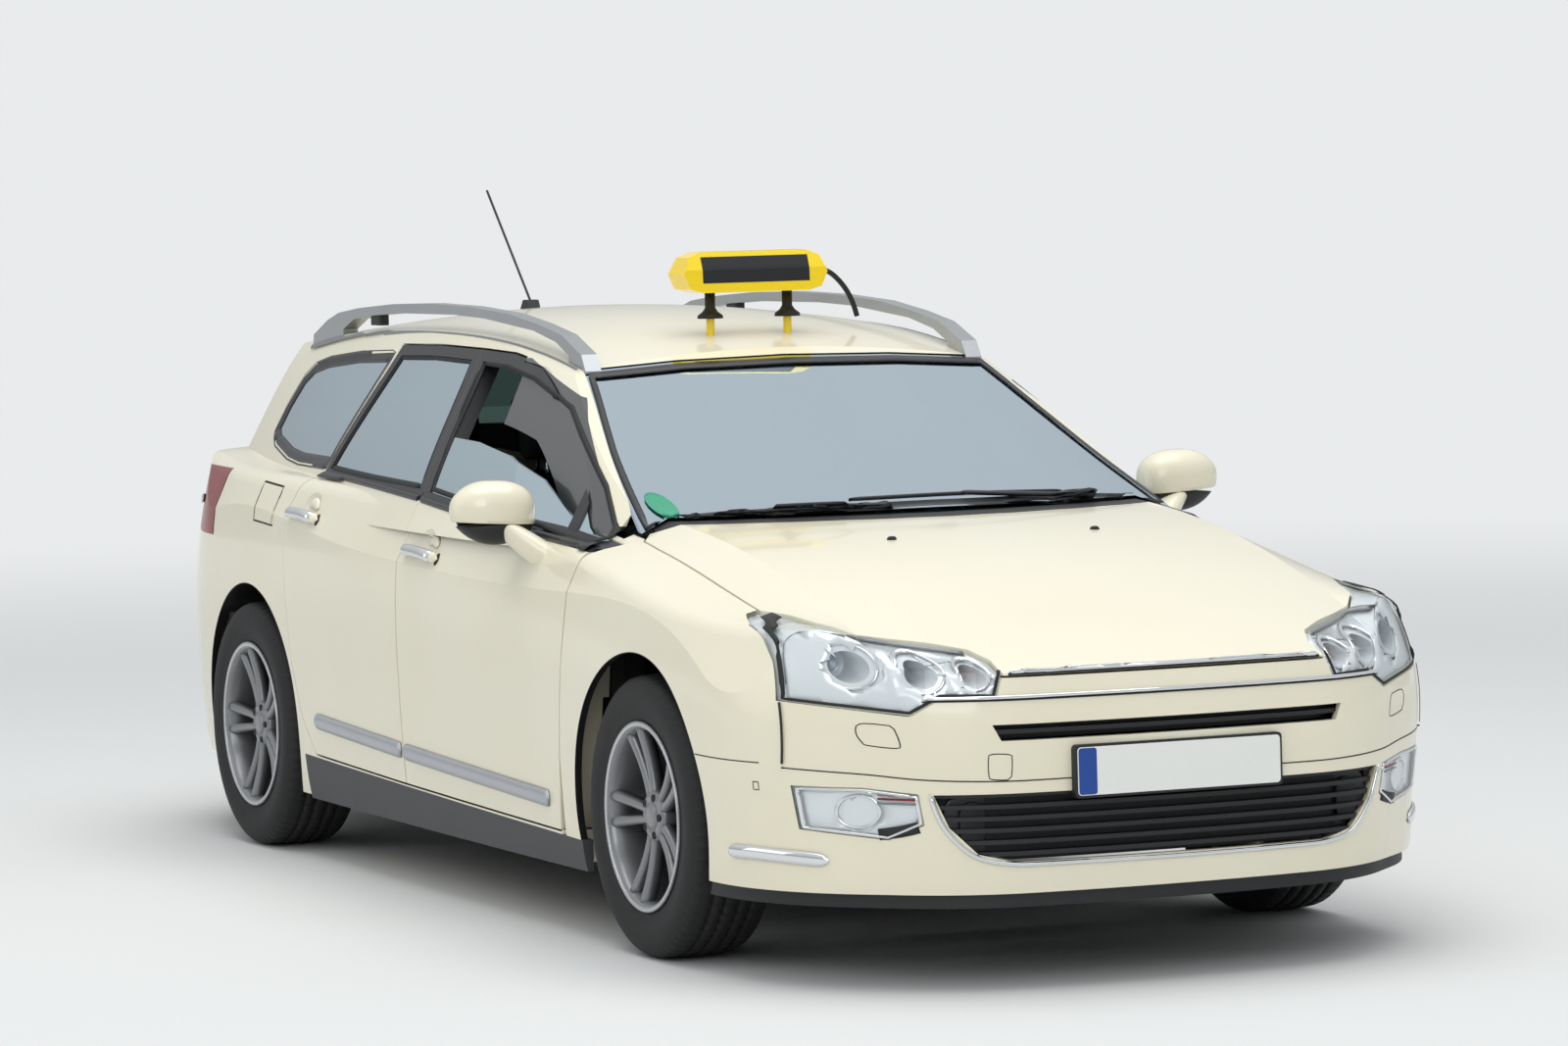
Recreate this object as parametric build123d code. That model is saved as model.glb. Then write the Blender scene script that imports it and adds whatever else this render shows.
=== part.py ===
from build123d import *
from math import cos, pi, sin
import os

# Taxi cab, a five-door estate car. Millimetres, +Z up, the ground at Z = 0.
# The front of the car faces -Y and its left side is +X.

# Wheels and stance
FRONT_AXLE = -1374.5
REAR_AXLE = 1440.5
WHEEL_RADIUS = 339.5
AXLE_HEIGHT = WHEEL_RADIUS
TYRE_WIDTH = 225
TRACK_HALF = 790
ARCH_RADIUS = 392

# Heights of the body
SILL_BOTTOM = 180
LOW_FLOOR = 200
FLOOR_HEIGHT = 300
BUMPER_BOTTOM = 225
BUMPER_SEAM = 520
FRONT_BUMPER_TOP = 716
REAR_BUMPER_TOP = 640
ROOF_REACH = 1560

# Walls, gaps and glass
PANEL_GAP = 5
SKIN = 20
LOWER_WALL = 105
UPPER_WALL = 45
GLASS = 5
PILLAR_WIDTH = 42

# Where the panels meet along the car
REAR_BUMPER_START = 1700
CAB_FRONT = -1010
BULKHEAD = -960
TAILGATE_TOP = 1950
TAILGATE_INNER = 2260
FRONT_END = -2500
REAR_END = 2500

# The doors' edges slope to the rear going outwards, so that they swing clear
HINGE_LINE_X = 921
SWING_SLOPE = 0.42
EDGE_STEP = 0.5

# A front door's window frame is a piece of its own, welded to the panel here
FRAME_BOTTOM = 1040

# Plan outlines of the lower body, one a height: nose, first and second front
# corner, half width, tail
LOWER = [
    (150, -2370, 500, -2330, 860, -1990, 880, 2370),
    (300, -2405, 515, -2366, 885, -2020, 903, 2405),
    (470, -2414, 520, -2374, 896, -2032, 912, 2414),
    (640, -2408, 520, -2370, 900, -2032, 917, 2412),
    (810, -2345, 520, -2320, 880, -1922, 914, 2392),
    (950, -2270, 510, -2230, 870, -1800, 900, 2362),
    (1110, -2190, 500, -2120, 860, -1700, 880, 2310),
]
REAR_TAPER_START = 510
REAR_TAPER_END = 122

# Cross-sections of the bonnet, shoulder and waist: station, half width and
# height of the side crease, heights of the shoulder corner, knee and crown
DECK = [
    (-2520, 860, 560, 640, 651, 664),
    (-1900, 885, 680, 824, 856, 896),
    (-1280, 914, 804, 884, 986, 1006),
    (-660, 917, 824, 972, 1024, 1036),
    (-40, 918, 838, 1004, 1034, 1046),
    (580, 917, 852, 1022, 1050, 1062),
    (1200, 914, 876, 1034, 1058, 1070),
    (1820, 908, 836, 1046, 1064, 1080),
    (2440, 900, 790, 1020, 1044, 1062),
]
KNEE_X = 640
SHOULDER_SLOPE = 0.46
SHOULDER_RADIUS = 60

# Plan outlines of the glasshouse, one a height: screen centre, screen corner,
# half width at the middle, rear corner, tail
GLASSHOUSE = [
    (940, -1349, 740, -1114, 866, 640, 2330),
    (1050, -1075, 700, -870, 812, 610, 2290),
    (1200, -702, 632, -552, 722, 566, 2190),
    (1330, -378, 573, -303, 636, 524, 2090),
    (1440, -104, 520, -54, 567, 470, 1990),
    (1540, 145, 460, 185, 500, 405, 1880),
]
GLASSHOUSE_MIDDLE = 700

# Cross-sections of the roof: station, edge height, crown height
ROOF = [
    (-900, 1180, 1212),
    (-350, 1335, 1366),
    (200, 1416, 1461),
    (750, 1434, 1488),
    (1300, 1420, 1473),
    (1850, 1377, 1424),
    (2400, 1314, 1352),
]
ROOF_EDGE = 575
ROOF_SEAM = 562
ROOF_RADIUS = 70

# Half width of the body side against height, for laying out the side view
SIDE_HEIGHTS = [176, 300, 450, 600, 750, 850, 930, 1000, 1050, 1100, 1200, 1300, 1400]
SIDE_WIDTHS = [884, 903, 912, 917, 915, 905, 872, 840, 815, 782, 722, 655, 592]
WIDEST = 917

# Side-view outlines, as (y, z) points on the body side
DOOR_BREAK = 196
FRONT_DOOR = [
    (-868, 262), (-892, 430), (-918, 600), (-938, 760), (-944, 850), (-946, 952),
    (-1000, 985), (-800, 1104), (-372, 1300), (-74, 1368), (150, 1391), (370, 1397),
    (300, 1260), (190, 1040), (DOOR_BREAK, 900), (DOOR_BREAK, 283),
]
REAR_DOOR = [
    (DOOR_BREAK + 8, 283), (DOOR_BREAK + 8, 900), (200, 1040), (312, 1260), (382, 1397),
    (676, 1400), (974, 1394), (1030, 1220), (1086, 1048), (1122, 942), (1112, 778),
    (1102, 690), (1078, 541), (1010, 393), (916, 300),
]
FRONT_WINDOW = [
    (-935, 972), (-740, 1090), (-345, 1272), (-60, 1338), (150, 1363), (325, 1368),
    (160, 1040), (-400, 1004), (-900, 962),
]
DIVISION_BAR = [(-722, 940), (-585, 1240), (-622, 1240), (-760, 940)]
LOWERED_EDGE = [
    (240, 1178), (32, 1172), (-214, 1147), (-455, 1096), (-699, 1007), (-800, 900), (240, 900),
]
REAR_WINDOW = [
    (238, 1046), (408, 1370), (676, 1374), (940, 1368), (1046, 1062), (650, 1052),
]
QUARTER_WINDOW = [
    (1090, 1066), (1000, 1374), (1290, 1362), (1550, 1340), (1670, 1322), (1735, 1286),
    (1795, 1207), (1830, 1130), (1760, 1100), (1550, 1072), (1400, 1064),
]
FUEL_FLAP = [(1232, 905), (1232, 1005), (1396, 1012), (1396, 912)]
SKIRT = [(-1000, 170), (-1000, 248), (1010, 292), (1010, 170)]

# Front-view outlines, as (x, z) points
HEADLAMP = [
    (414, 728), (436, 672), (552, 674), (612, 635), (832, 666), (815, 823), (786, 842),
    (752, 852), (736, 872), (400, 872), (400, 740),
]
FOG_LAMP = [(588, 386), (600, 456), (700, 470), (816, 471), (800, 372), (650, 352)]
LOWER_GRILLE = [
    (-572, 455), (572, 455), (540, 380), (480, 318), (400, 298), (-400, 298),
    (-480, 318), (-540, 380),
]
UPPER_GRILLE = [(-449, 612), (449, 612), (430, 575), (-430, 575)]
SCREEN = [(738, 940), (724, 993), (640, 1176), (557, 1360), (300, 1376), (0, 1382)]
TAILGATE = [(640, 645), (668, 850), (684, 1040), (630, 1110), (548, 1300), (510, 1420)]
TAILGATE_FRONT = [
    (TAILGATE_TOP, 1330), (2050, 1200), (2112, 1108), (2188, 1078), (2200, 1000), (2235, 850),
    (2255, 600),
]
TAIL_WINDOW = [(540, 1110), (486, 1290), (456, 1350)]
TAIL_LAMP = [(660, 850), (690, 1035), (900, 1035), (900, 850)]

# Plan outline of the bonnet's left half, as (x, y) points from front to rear
BONNET = [
    (404, -2440), (412, -2350), (411, -2290), (436, -2228), (508, -2165), (585, -2108),
    (652, -2050), (700, -1975), (722, -1885), (757, -1790), (753, -1546), (746, -1326),
    (740, -1146), (734, -1050), (706, -1012), (560, -1098), (380, -1172), (180, -1222),
    (0, -1238),
]


def side_width(z):
    """Half width of the body side at height z."""
    rows = list(zip(SIDE_HEIGHTS, SIDE_WIDTHS))
    for (z0, w0), (z1, w1) in zip(rows, rows[1:]):
        if z <= z1:
            return w0 + (w1 - w0) * (z - z0) / (z1 - z0)
    return SIDE_WIDTHS[-1]


def mirrored(half):
    """A closed outline from its left half."""
    return half + [(-x, y) for x, y in reversed(half) if x > 0]


def corners_at(face, x, y):
    """The pair of corners of a plan outline at plus and minus x."""
    return [v for v in face.vertices() if abs(abs(v.X) - x) < 1 and abs(v.Y - y) < 1]


def lower_outline(nose, x1, y1, x2, y2, side, tail, inset=0):
    """Plan outline of the lower body at one height, drawn in by an inset."""
    x3, y3 = side - 34 - inset, tail - REAR_TAPER_START - 0.5 * inset
    x4, y4 = side - 160 - 0.8 * inset, tail - REAR_TAPER_END - inset
    x1, y1 = x1 - 0.4 * inset, y1 + 0.9 * inset
    x2, y2 = x2 - 0.7 * inset, y2 + 0.5 * inset
    nose, side, tail = nose + inset, side - inset, tail - inset
    face = make_face(
        ThreePointArc((-x1, y1), (0, nose), (x1, y1))
        + Line((x1, y1), (x2, y2))
        + ThreePointArc((x2, y2), (side, 0), (x3, y3))
        + Line((x3, y3), (x4, y4))
        + ThreePointArc((x4, y4), (0, tail), (-x4, y4))
        + Line((-x4, y4), (-x3, y3))
        + ThreePointArc((-x3, y3), (-side, 0), (-x2, y2))
        + Line((-x2, y2), (-x1, y1))
    )
    for x, y, radius in ((x1, y1, 480), (x2, y2, 560), (x3, y3, 900), (x4, y4, 300)):
        face = fillet(corners_at(face, x, y), radius - inset)
    return face


def lower_body(inset=0):
    """Sides, nose and tail of the lower body, drawn in by an inset."""
    return loft([Pos(0, 0, z) * lower_outline(*row, inset) for z, *row in LOWER])


def cross_plane(y):
    """A vertical plane across the car at station y."""
    return Plane(origin=(0, y, 0), x_dir=(1, 0, 0), z_dir=(0, -1, 0))


def deck(inset=0):
    """Bonnet, shoulders and waist: everything below this surface."""
    sections = []
    base = 100
    for y, side, crease, corner, knee, crown in DECK:
        x_corner = side - SHOULDER_SLOPE * (corner - crease) - 0.7 * inset
        x_base = side + SHOULDER_SLOPE * (crease - base) - inset
        x_knee = KNEE_X - 0.3 * inset
        top, bend = corner - inset, knee - inset
        face = make_face(
            ThreePointArc((-x_knee, bend), (0, crown - inset), (x_knee, bend))
            + Line((x_knee, bend), (x_corner, top))
            + Line((x_corner, top), (x_base, base))
            + Line((x_base, base), (-x_base, base))
            + Line((-x_base, base), (-x_corner, top))
            + Line((-x_corner, top), (-x_knee, bend))
        )
        shoulders = [v for v in face.vertices() if abs(v.Y - top) < 0.1]
        face = fillet(shoulders, SHOULDER_RADIUS)
        sections.append(cross_plane(y) * face)
    return loft(sections)


def glasshouse(inset=0):
    """Screens, pillars and side glass, drawn in by an inset."""
    sections = []
    for z, nose, x1, y1, side, x3, tail in GLASSHOUSE:
        nose, x1, y1 = nose + 2.3 * inset, x1 - 0.9 * inset, y1 + 2.1 * inset
        side, tail, x3 = side - 1.17 * inset, tail - 1.3 * inset, x3 - inset
        y3 = tail - 90
        x2, y2 = side - 20, y1 + 50
        x4, y4 = x3 + 40, y3 - 60
        edges = (
            ThreePointArc((-x1, y1), (0, nose), (x1, y1))
            + Line((x1, y1), (x2, y2))
            + ThreePointArc((x2, y2), (side, GLASSHOUSE_MIDDLE), (x4, y4))
            + Line((x4, y4), (x3, y3))
            + ThreePointArc((x3, y3), (0, tail), (-x3, y3))
            + Line((-x3, y3), (-x4, y4))
            + ThreePointArc((-x4, y4), (-side, GLASSHOUSE_MIDDLE), (-x2, y2))
            + Line((-x2, y2), (-x1, y1))
        )
        sections.append(Pos(0, 0, z) * make_face(edges))
    return loft(sections)


def roof(inset=0):
    """Everything below the roof surface."""
    sections = []
    base, reach, fall = 100, 1100, 600
    for y, edge, crown in ROOF:
        x_edge, z_edge = ROOF_EDGE - 0.6 * inset, edge - inset
        face = make_face(
            ThreePointArc((-x_edge, z_edge), (0, crown - inset), (x_edge, z_edge))
            + Line((x_edge, z_edge), (reach, z_edge - fall))
            + Line((reach, z_edge - fall), (reach, base))
            + Line((reach, base), (-reach, base))
            + Line((-reach, base), (-reach, z_edge - fall))
            + Line((-reach, z_edge - fall), (-x_edge, z_edge))
        )
        edges = [v for v in face.vertices() if abs(abs(v.X) - x_edge) < 1]
        sections.append(cross_plane(y) * fillet(edges, ROOF_RADIUS))
    return loft(sections)


def outline_face(points, grow=0):
    """A flat face in an outline, grown by an amount, or shrunk by a minus."""
    face = make_face(Polyline(*points, close=True))
    return offset(face, grow, kind=Kind.INTERSECTION) if grow else face


def prism_z(points, z0, z1, grow=0):
    """Plan outline carried up from z0 to z1."""
    return Pos(0, 0, z0) * extrude(outline_face(points, grow), z1 - z0, dir=(0, 0, 1))


def prism_y(points, y0, y1, grow=0):
    """Front-view outline of (x, z) points carried from y0 to y1."""
    return extrude(cross_plane(y0) * outline_face(points, grow), y1 - y0, dir=(0, 1, 0))


def prism_x(points, x0, x1, slope=0, grow=0):
    """Side-view outline of (y, z) points on the body side, carried from x0 to
    x1. With a slope, it moves to the rear as it goes out, as a door swings."""
    shifted = [(y + slope * (HINGE_LINE_X - side_width(z)), z) for y, z in points]
    side_plane = Plane(origin=(HINGE_LINE_X, 0, 0), x_dir=(0, 1, 0), z_dir=(1, 0, 0))
    placed = side_plane * outline_face(shifted, grow)
    out = extrude(placed, x1 - HINGE_LINE_X, dir=(1, slope, 0))
    into = extrude(placed, HINGE_LINE_X - x0, dir=(-1, -slope, 0))
    return out + into


def block(x0, x1, y0, y1, z0, z1):
    """An upright box between two corners."""
    size = (x1 - x0, y1 - y0, z1 - z0)
    centre = ((x0 + x1) / 2, (y0 + y1) / 2, (z0 + z1) / 2)
    return Pos(*centre) * Box(*size)


def lying(x0, x1, y, z, radius):
    """A round bar along X."""
    return Pos((x0 + x1) / 2, y, z) * Rot(0, 90, 0) * Cylinder(radius, x1 - x0)


def standing(x, y, z0, z1, radius):
    """An upright round bar."""
    return Pos(x, y, (z0 + z1) / 2) * Cylinder(radius, z1 - z0)


def other_side(shape):
    """The mirror image of a shape across the car."""
    return mirror(shape, about=Plane.YZ)


def both(shape):
    """A shape and its mirror image across the car."""
    return shape + other_side(shape)


nodes = {}

# The body's skin, the cabin in it, and the shell between them
lower_skin = lower_body() & deck()
skin = lower_skin + (glasshouse() & roof())
wall_x = WIDEST - LOWER_WALL
room_profile = [
    (wall_x, FLOOR_HEIGHT), (wall_x, 760), (wall_x - 45, 940), (wall_x - 70, 1000),
]
room_plan = [
    (wall_x - 30, BULKHEAD), (wall_x, 0), (wall_x - 20, 1500), (600, TAILGATE_INNER),
]
room_top = room_profile[-1][1]
room = prism_y(mirrored(room_profile), BULKHEAD, TAILGATE_INNER) & prism_z(
    mirrored(room_plan), 0, room_top
)
upper_zone = block(-900, 900, -1500, 2400, room_top - 40, ROOF_REACH)
shell = skin - [room, glasshouse(UPPER_WALL) & roof(UPPER_WALL) & upper_zone]

# The left side of the shell as thick as a door, and the layer of its windows
side_zone = block(420, 1100, -1150, 1300, 150, ROOF_REACH)
sill_plan = [(0, BULKHEAD), (wall_x - 30, BULKHEAD), (wall_x, 0), (wall_x - 20, 1500), (0, 1500)]
side_left = (shell & side_zone) - [
    prism_z(sill_plan, 100, FLOOR_HEIGHT),
    block(0, wall_x - 30, -1200, BULKHEAD, 100, room_top - 40),
    block(0, ROOF_SEAM + PANEL_GAP, -1150, 1300, 1300, ROOF_REACH),
]
glass_zone = block(400, 1000, -1100, 1900, 940, ROOF_REACH)
GLASS_DEPTH = 6
glass_skin = skin & glass_zone
glass_layer = (Pos(-GLASS_DEPTH, 0, 0) * glass_skin) - Pos(-GLASS_DEPTH - GLASS, 0, 0) * glass_skin
X_IN, X_OUT = 420, 1000


def pillar_limit(width):
    """The screen with its pillars, a width wider than the glass."""
    half = [(x + width if x > 500 else x, z) for x, z in SCREEN[:4]] + [(PILLAR_WIDTH + 557, 1440)]
    return prism_y(mirrored(half), -1500, 60)


def wheel_arch(axle, x0, x1, radius):
    """A cylinder along the axle, on the left side of the car."""
    return lying(x0, x1, axle, AXLE_HEIGHT, radius)


door_limit = pillar_limit(PILLAR_WIDTH)
hole_limit = pillar_limit(PILLAR_WIDTH - PANEL_GAP)
rear_arch = wheel_arch(REAR_AXLE, 500, 1000, ARCH_RADIUS)


def door_hole(outline):
    """What the body sides lose for a door."""
    return prism_x(outline, X_IN, X_OUT, slope=SWING_SLOPE, grow=PANEL_GAP) - hole_limit


# Doors and their panes. The right front pane is half lowered
bar = prism_x(DIVISION_BAR, X_IN, X_OUT)
front_window = prism_x(FRONT_WINDOW, X_IN, X_OUT)
rear_window = prism_x(REAR_WINDOW, X_IN, X_OUT)
front_leaf = prism_x(FRONT_DOOR, X_IN, X_OUT, slope=SWING_SLOPE)
rear_leaf = prism_x(REAR_DOOR, X_IN, X_OUT, slope=SWING_SLOPE)
leading_edge = prism_x(
    [(-1300, 200)] + [(y - EDGE_STEP, z) for y, z in FRONT_DOOR[:6]] + [(-1300, 952)], X_IN, X_OUT
)
front_door = (side_left & front_leaf) - [front_window - bar, door_limit, leading_edge]
frame_zone = block(0, X_OUT, -1200, 1300, FRAME_BOTTOM, ROOF_REACH)
front_panel, front_frame_rails = front_door - frame_zone, front_door & frame_zone
front_door = Compound(front_panel.solids() + front_frame_rails.solids())
rear_door = (side_left & rear_leaf) - [
    rear_window, wheel_arch(REAR_AXLE, 500, 1000, ARCH_RADIUS + PANEL_GAP)
]
front_pane = (glass_layer & front_window) - [bar, door_limit]
rear_pane = glass_layer & rear_window
lowered = prism_x(LOWERED_EDGE, X_IN, X_OUT) + prism_x(
    [(-760, 900), (-622, 1240), (-1100, 1240), (-1100, 900)], X_IN, X_OUT
)
nodes["door_front_left"] = front_door
nodes["door_front_right"] = other_side(front_door)
nodes["door_rear_left"] = rear_door
nodes["door_rear_right"] = other_side(rear_door)
nodes["glass_front_left"] = front_pane
nodes["glass_front_right"] = other_side(front_pane & lowered)
nodes["glass_rear_left"] = rear_pane
nodes["glass_rear_right"] = other_side(rear_pane)

# Body sides: sill, pillars, cant rail and rear quarter
fender_edge = prism_x(
    [(-1300, 100), (FRONT_DOOR[0][0] - PANEL_GAP, 100)]
    + [(y - PANEL_GAP, z) for y, z in FRONT_DOOR[:6]]
    + [(-1006, 991), (-1300, 991)],
    500, 1100, slope=SWING_SLOPE,
)
centre_plane = Plane(origin=(0, 0, 0), x_dir=(0, 1, 0), z_dir=(1, 0, 0))
gate_side = [(TAILGATE_TOP, ROOF_REACH)] + TAILGATE_FRONT + [(REAR_END, 600), (REAR_END, ROOF_REACH)]
gate_depth, gate_room = (
    extrude(centre_plane * outline_face(gate_side, grow), 1000, both=True) for grow in (0, PANEL_GAP)
)
tail_zone = prism_y(mirrored(TAILGATE), 1900, REAR_END) & gate_depth
tail_hole = prism_y(mirrored(TAILGATE), 1900, REAR_END, grow=PANEL_GAP) & gate_room
tail_lamp_zone = prism_y(TAIL_LAMP, 1760, REAR_END)
screen_hole = prism_y(mirrored(SCREEN), -1500, 0)
quarter_window = prism_x(QUARTER_WINDOW, X_IN, X_OUT)
side_shell = shell & (
    block(ROOF_SEAM, 1000, CAB_FRONT - 40, 2330, FLOOR_HEIGHT, ROOF_REACH)
    + block(720, 1000, CAB_FRONT - 40, 2000, SILL_BOTTOM, FLOOR_HEIGHT)
)
SKIRT_X = 868
HOUSING_ROOM = 9
skirt_room = prism_x(SKIRT, SKIRT_X, 1000)
skirt = lower_body() & skirt_room
side_shell = side_shell - [
    door_hole(FRONT_DOOR), door_hole(REAR_DOOR), quarter_window, fender_edge, rear_arch,
    block(0, 1000, REAR_BUMPER_START, REAR_END, 100, REAR_BUMPER_TOP), tail_hole, tail_lamp_zone,
    screen_hole, skirt_room,
    wheel_arch(REAR_AXLE, 500, wall_x, ARCH_RADIUS + HOUSING_ROOM),
]
JACKING_PADS = [-700, 800]
for y in JACKING_PADS:
    side_shell = side_shell + block(760, 820, y - 30, y + 30, SILL_BOTTOM - 10, SILL_BOTTOM)
flap_zone = other_side(prism_x(FUEL_FLAP, 700, 1000))
flap_hole = other_side(prism_x(FUEL_FLAP, 700, 1000, grow=PANEL_GAP))
flap_patch = skin & block(-1000, -700, 1150, 1500, 860, 1060)
nodes["fuel_flap"] = (flap_patch & flap_zone) - Pos(14, 0, 0) * flap_patch
flap_pocket = (flap_patch & flap_hole) - Pos(26, 0, 0) * flap_patch
nodes["body_sides"] = both(side_shell) - flap_pocket
nodes["sill_skirts"] = both(skirt)
tail_lamp = (skin & tail_lamp_zone) - tail_hole
nodes["tail_lamps"] = both(tail_lamp - Pos(-40, -50, 0) * tail_lamp)

# Roof, screens and tailgate
roof_zone = block(
    -ROOF_SEAM, ROOF_SEAM, -400, TAILGATE_TOP - PANEL_GAP, 1300, ROOF_REACH
)
nodes["roof_panel"] = (shell & roof_zone) - [screen_hole, tail_hole]
SCREEN_LIFT = 8
front_glass = glasshouse(3) & block(-800, 800, -1500, 0, 900, ROOF_REACH)
screen = (front_glass - Pos(0, 13, -1) * front_glass) & screen_hole
screen = screen - Pos(0, 0, SCREEN_LIFT) * lower_skin
nodes["fixed_glass"] = screen + both(glass_layer & quarter_window)
tail_window = prism_y(mirrored(TAIL_WINDOW), 1900, REAR_END)
nodes["tailgate"] = (shell & tail_zone) - tail_window
tail_glass = glasshouse(4) & roof(4) & block(-700, 700, 1900, REAR_END, 1000, ROOF_REACH)
nodes["tailgate_glass"] = (tail_glass - Pos(0, -7, 0) * tail_glass) & tail_window

# Front end
front_zone = block(-1000, 1000, FRONT_END, CAB_FRONT + 160, 100, 1100)
front_skin = lower_skin & front_zone
front_shell = front_skin - (lower_body(SKIN) & deck(SKIN) & front_zone)
bonnet_plan = mirrored(BONNET)
bonnet_hole = prism_z(bonnet_plan, FRONT_BUMPER_TOP, 1100, grow=PANEL_GAP)
nodes["bonnet"] = front_shell & prism_z(bonnet_plan, FRONT_BUMPER_TOP + PANEL_GAP, 1100)
left_lamp_zone = prism_y(HEADLAMP, FRONT_END, -1750)
lamp_hole = both(prism_y(HEADLAMP, FRONT_END, -1750, grow=2))
left_fog_zone = prism_y(FOG_LAMP, FRONT_END, -1900)
fog_hole = both(prism_y(FOG_LAMP, FRONT_END, -1900, grow=1))
fender_hole = prism_z(bonnet_plan, 300, 1100, grow=PANEL_GAP)
lamp = (front_skin & left_lamp_zone) - fender_hole
fog = front_skin & left_fog_zone
COVER = 4
lamp_covers = lamp - Pos(-COVER, COVER, -COVER) * lamp
fog_covers = fog - Pos(-COVER, COVER, 0) * fog
nodes["lamp_covers"] = both(lamp_covers + fog_covers)
bowls = [
    Pos(x, -2300, z) * Rot(90, 0, 0) * Cone(radius - 22, radius, depth)
    for x, z, radius, depth in ((700, 742, 52, 640), (575, 726, 44, 480), (470, 720, 36, 420))
]
housing = (Pos(-8, 10, -8) * lamp & left_lamp_zone) - [
    Pos(-60, 90, -20) * lamp, fender_hole, *bowls
]
fog_housing = (Pos(-6, 8, 0) * fog & left_fog_zone) - Pos(-40, 50, 0) * fog
nodes["lamp_housings"] = both(housing + fog_housing)
bumper_zone = block(-1000, 1000, FRONT_END, -1700, BUMPER_BOTTOM, BUMPER_SEAM) + block(
    -834, 834, FRONT_END, -1700, BUMPER_SEAM, FRONT_BUMPER_TOP
)
front_arch = both(wheel_arch(FRONT_AXLE, 400, 1000, ARCH_RADIUS))
grille_holes = prism_y(LOWER_GRILLE, FRONT_END, -2000) + prism_y(UPPER_GRILLE, FRONT_END, -2000)
nodes["front_bumper"] = (front_shell & bumper_zone) - [
    lamp_hole, grille_holes, fog_hole, front_arch, bonnet_hole
]

# Grilles: a curved plate behind each opening with bars across it, and the lip
GRILLE_PLATE = (44, 52)
GRILLE_BAR = (12, 46)
GRILLE_ROW = LOWER[2][1:]


def nose_ring(depths, z0, z1):
    """A band that follows the nose between two depths behind it."""
    outer, inner = (lower_outline(*GRILLE_ROW, inset=depth) for depth in depths)
    band = Pos(0, 0, z0) * extrude(outer - inner, z1 - z0, dir=(0, 0, 1))
    return band & block(-620, 620, FRONT_END, -2200, z0, z1)


lower_bars = [nose_ring(GRILLE_BAR, z, z + 10) for z in range(312, 450, 27)]
lower_mesh = nose_ring(GRILLE_PLATE, 290, 460) + lower_bars
upper_mesh = nose_ring(GRILLE_PLATE, 560, 620) + nose_ring(GRILLE_BAR, 590, 600)
LIP_BOTTOM = 192
lip = extrude(
    lower_outline(*LOWER[0][1:], inset=-14) - lower_outline(*LOWER[0][1:], inset=60),
    BUMPER_BOTTOM - LIP_BOTTOM, dir=(0, 0, 1),
)
lip = Pos(0, 0, LIP_BOTTOM) * lip & block(-1000, 1000, FRONT_END, -1700, 0, 400)
nodes["grilles"] = (
    (lower_mesh & prism_y(LOWER_GRILLE, FRONT_END, -2000, grow=-3))
    + (upper_mesh & prism_y(UPPER_GRILLE, FRONT_END, -2000, grow=-2))
    + (lip - front_arch)
)

fender_box = both(block(690, 1000, FRONT_END, -900, BUMPER_BOTTOM, 1100))
fender_reach = both(fender_edge) + block(-1000, 1000, FRONT_END, -1200, SILL_BOTTOM, 1100)
nodes["front_fenders"] = (front_shell & fender_box & fender_reach) - [
    bumper_zone, lamp_hole, front_arch, fender_hole, both(prism_x(SKIRT, 700, 1000))
]
COWL_DEPTH = 75
cowl_edge = [(690, -1021)] + BONNET[-4:]
cowl_plan = mirrored([(x, y + COWL_DEPTH) for x, y in reversed(cowl_edge)] + cowl_edge)
nodes["cowl_panel"] = (front_shell & prism_z(cowl_plan, 900, 1100)) - fender_hole
tail_block = block(
    -1000, 1000, REAR_BUMPER_START, REAR_END, BUMPER_BOTTOM, REAR_BUMPER_TOP
)
rear_bumper = (lower_body() & tail_block) - (lower_body(30) & tail_block)
nodes["rear_bumper"] = rear_bumper - both(rear_arch)

# Wheels: axis along X with the outer face towards +X, centre at the origin
HUB_RADIUS = 62
BORE_RADIUS = 27
BEAD_RADIUS = 220
KINGPIN_X = 750
SPOKE_PAIRS = 5
WHEEL_SIDES = 90
BEAD_X = 98
WALL_RADIUS = 282
SHOULDER_WIDTH = 26
FLANGE_X, FLANGE_RADIUS = 106, 229


def drum(stations):
    """A many-sided drum along X through (x, radius) stations, with a flat side down."""
    turns = [2 * pi * i / WHEEL_SIDES for i in range(WHEEL_SIDES)]
    corner_radius = [radius / cos(pi / WHEEL_SIDES) for _, radius in stations]
    rings = [
        [(x, corner * cos(turn), corner * sin(turn)) for turn in turns]
        for (x, _), corner in zip(stations, corner_radius)
    ]
    faces = [outline_face(rings[0]), outline_face(rings[-1])]
    for ring, other in zip(rings, rings[1:]):
        for i in range(WHEEL_SIDES):
            faces.append(outline_face([ring[i - 1], ring[i], other[i], other[i - 1]]))
    return Solid(Shell(faces))


def make_tyre():
    """Tyre carcass: tread, shoulders and walls that lean in to the beads."""
    half, crown = TYRE_WIDTH / 2, WHEEL_RADIUS
    tread = half - SHOULDER_WIDTH
    outside = drum([(-half, WALL_RADIUS), (-tread, crown), (tread, crown), (half, WALL_RADIUS)])
    wall = drum([(BEAD_X, BEAD_RADIUS), (half + 1, WALL_RADIUS + 2)])
    bore = drum([(-half, BEAD_RADIUS), (half, BEAD_RADIUS)])
    return outside - [wall, other_side(wall), bore]


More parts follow.
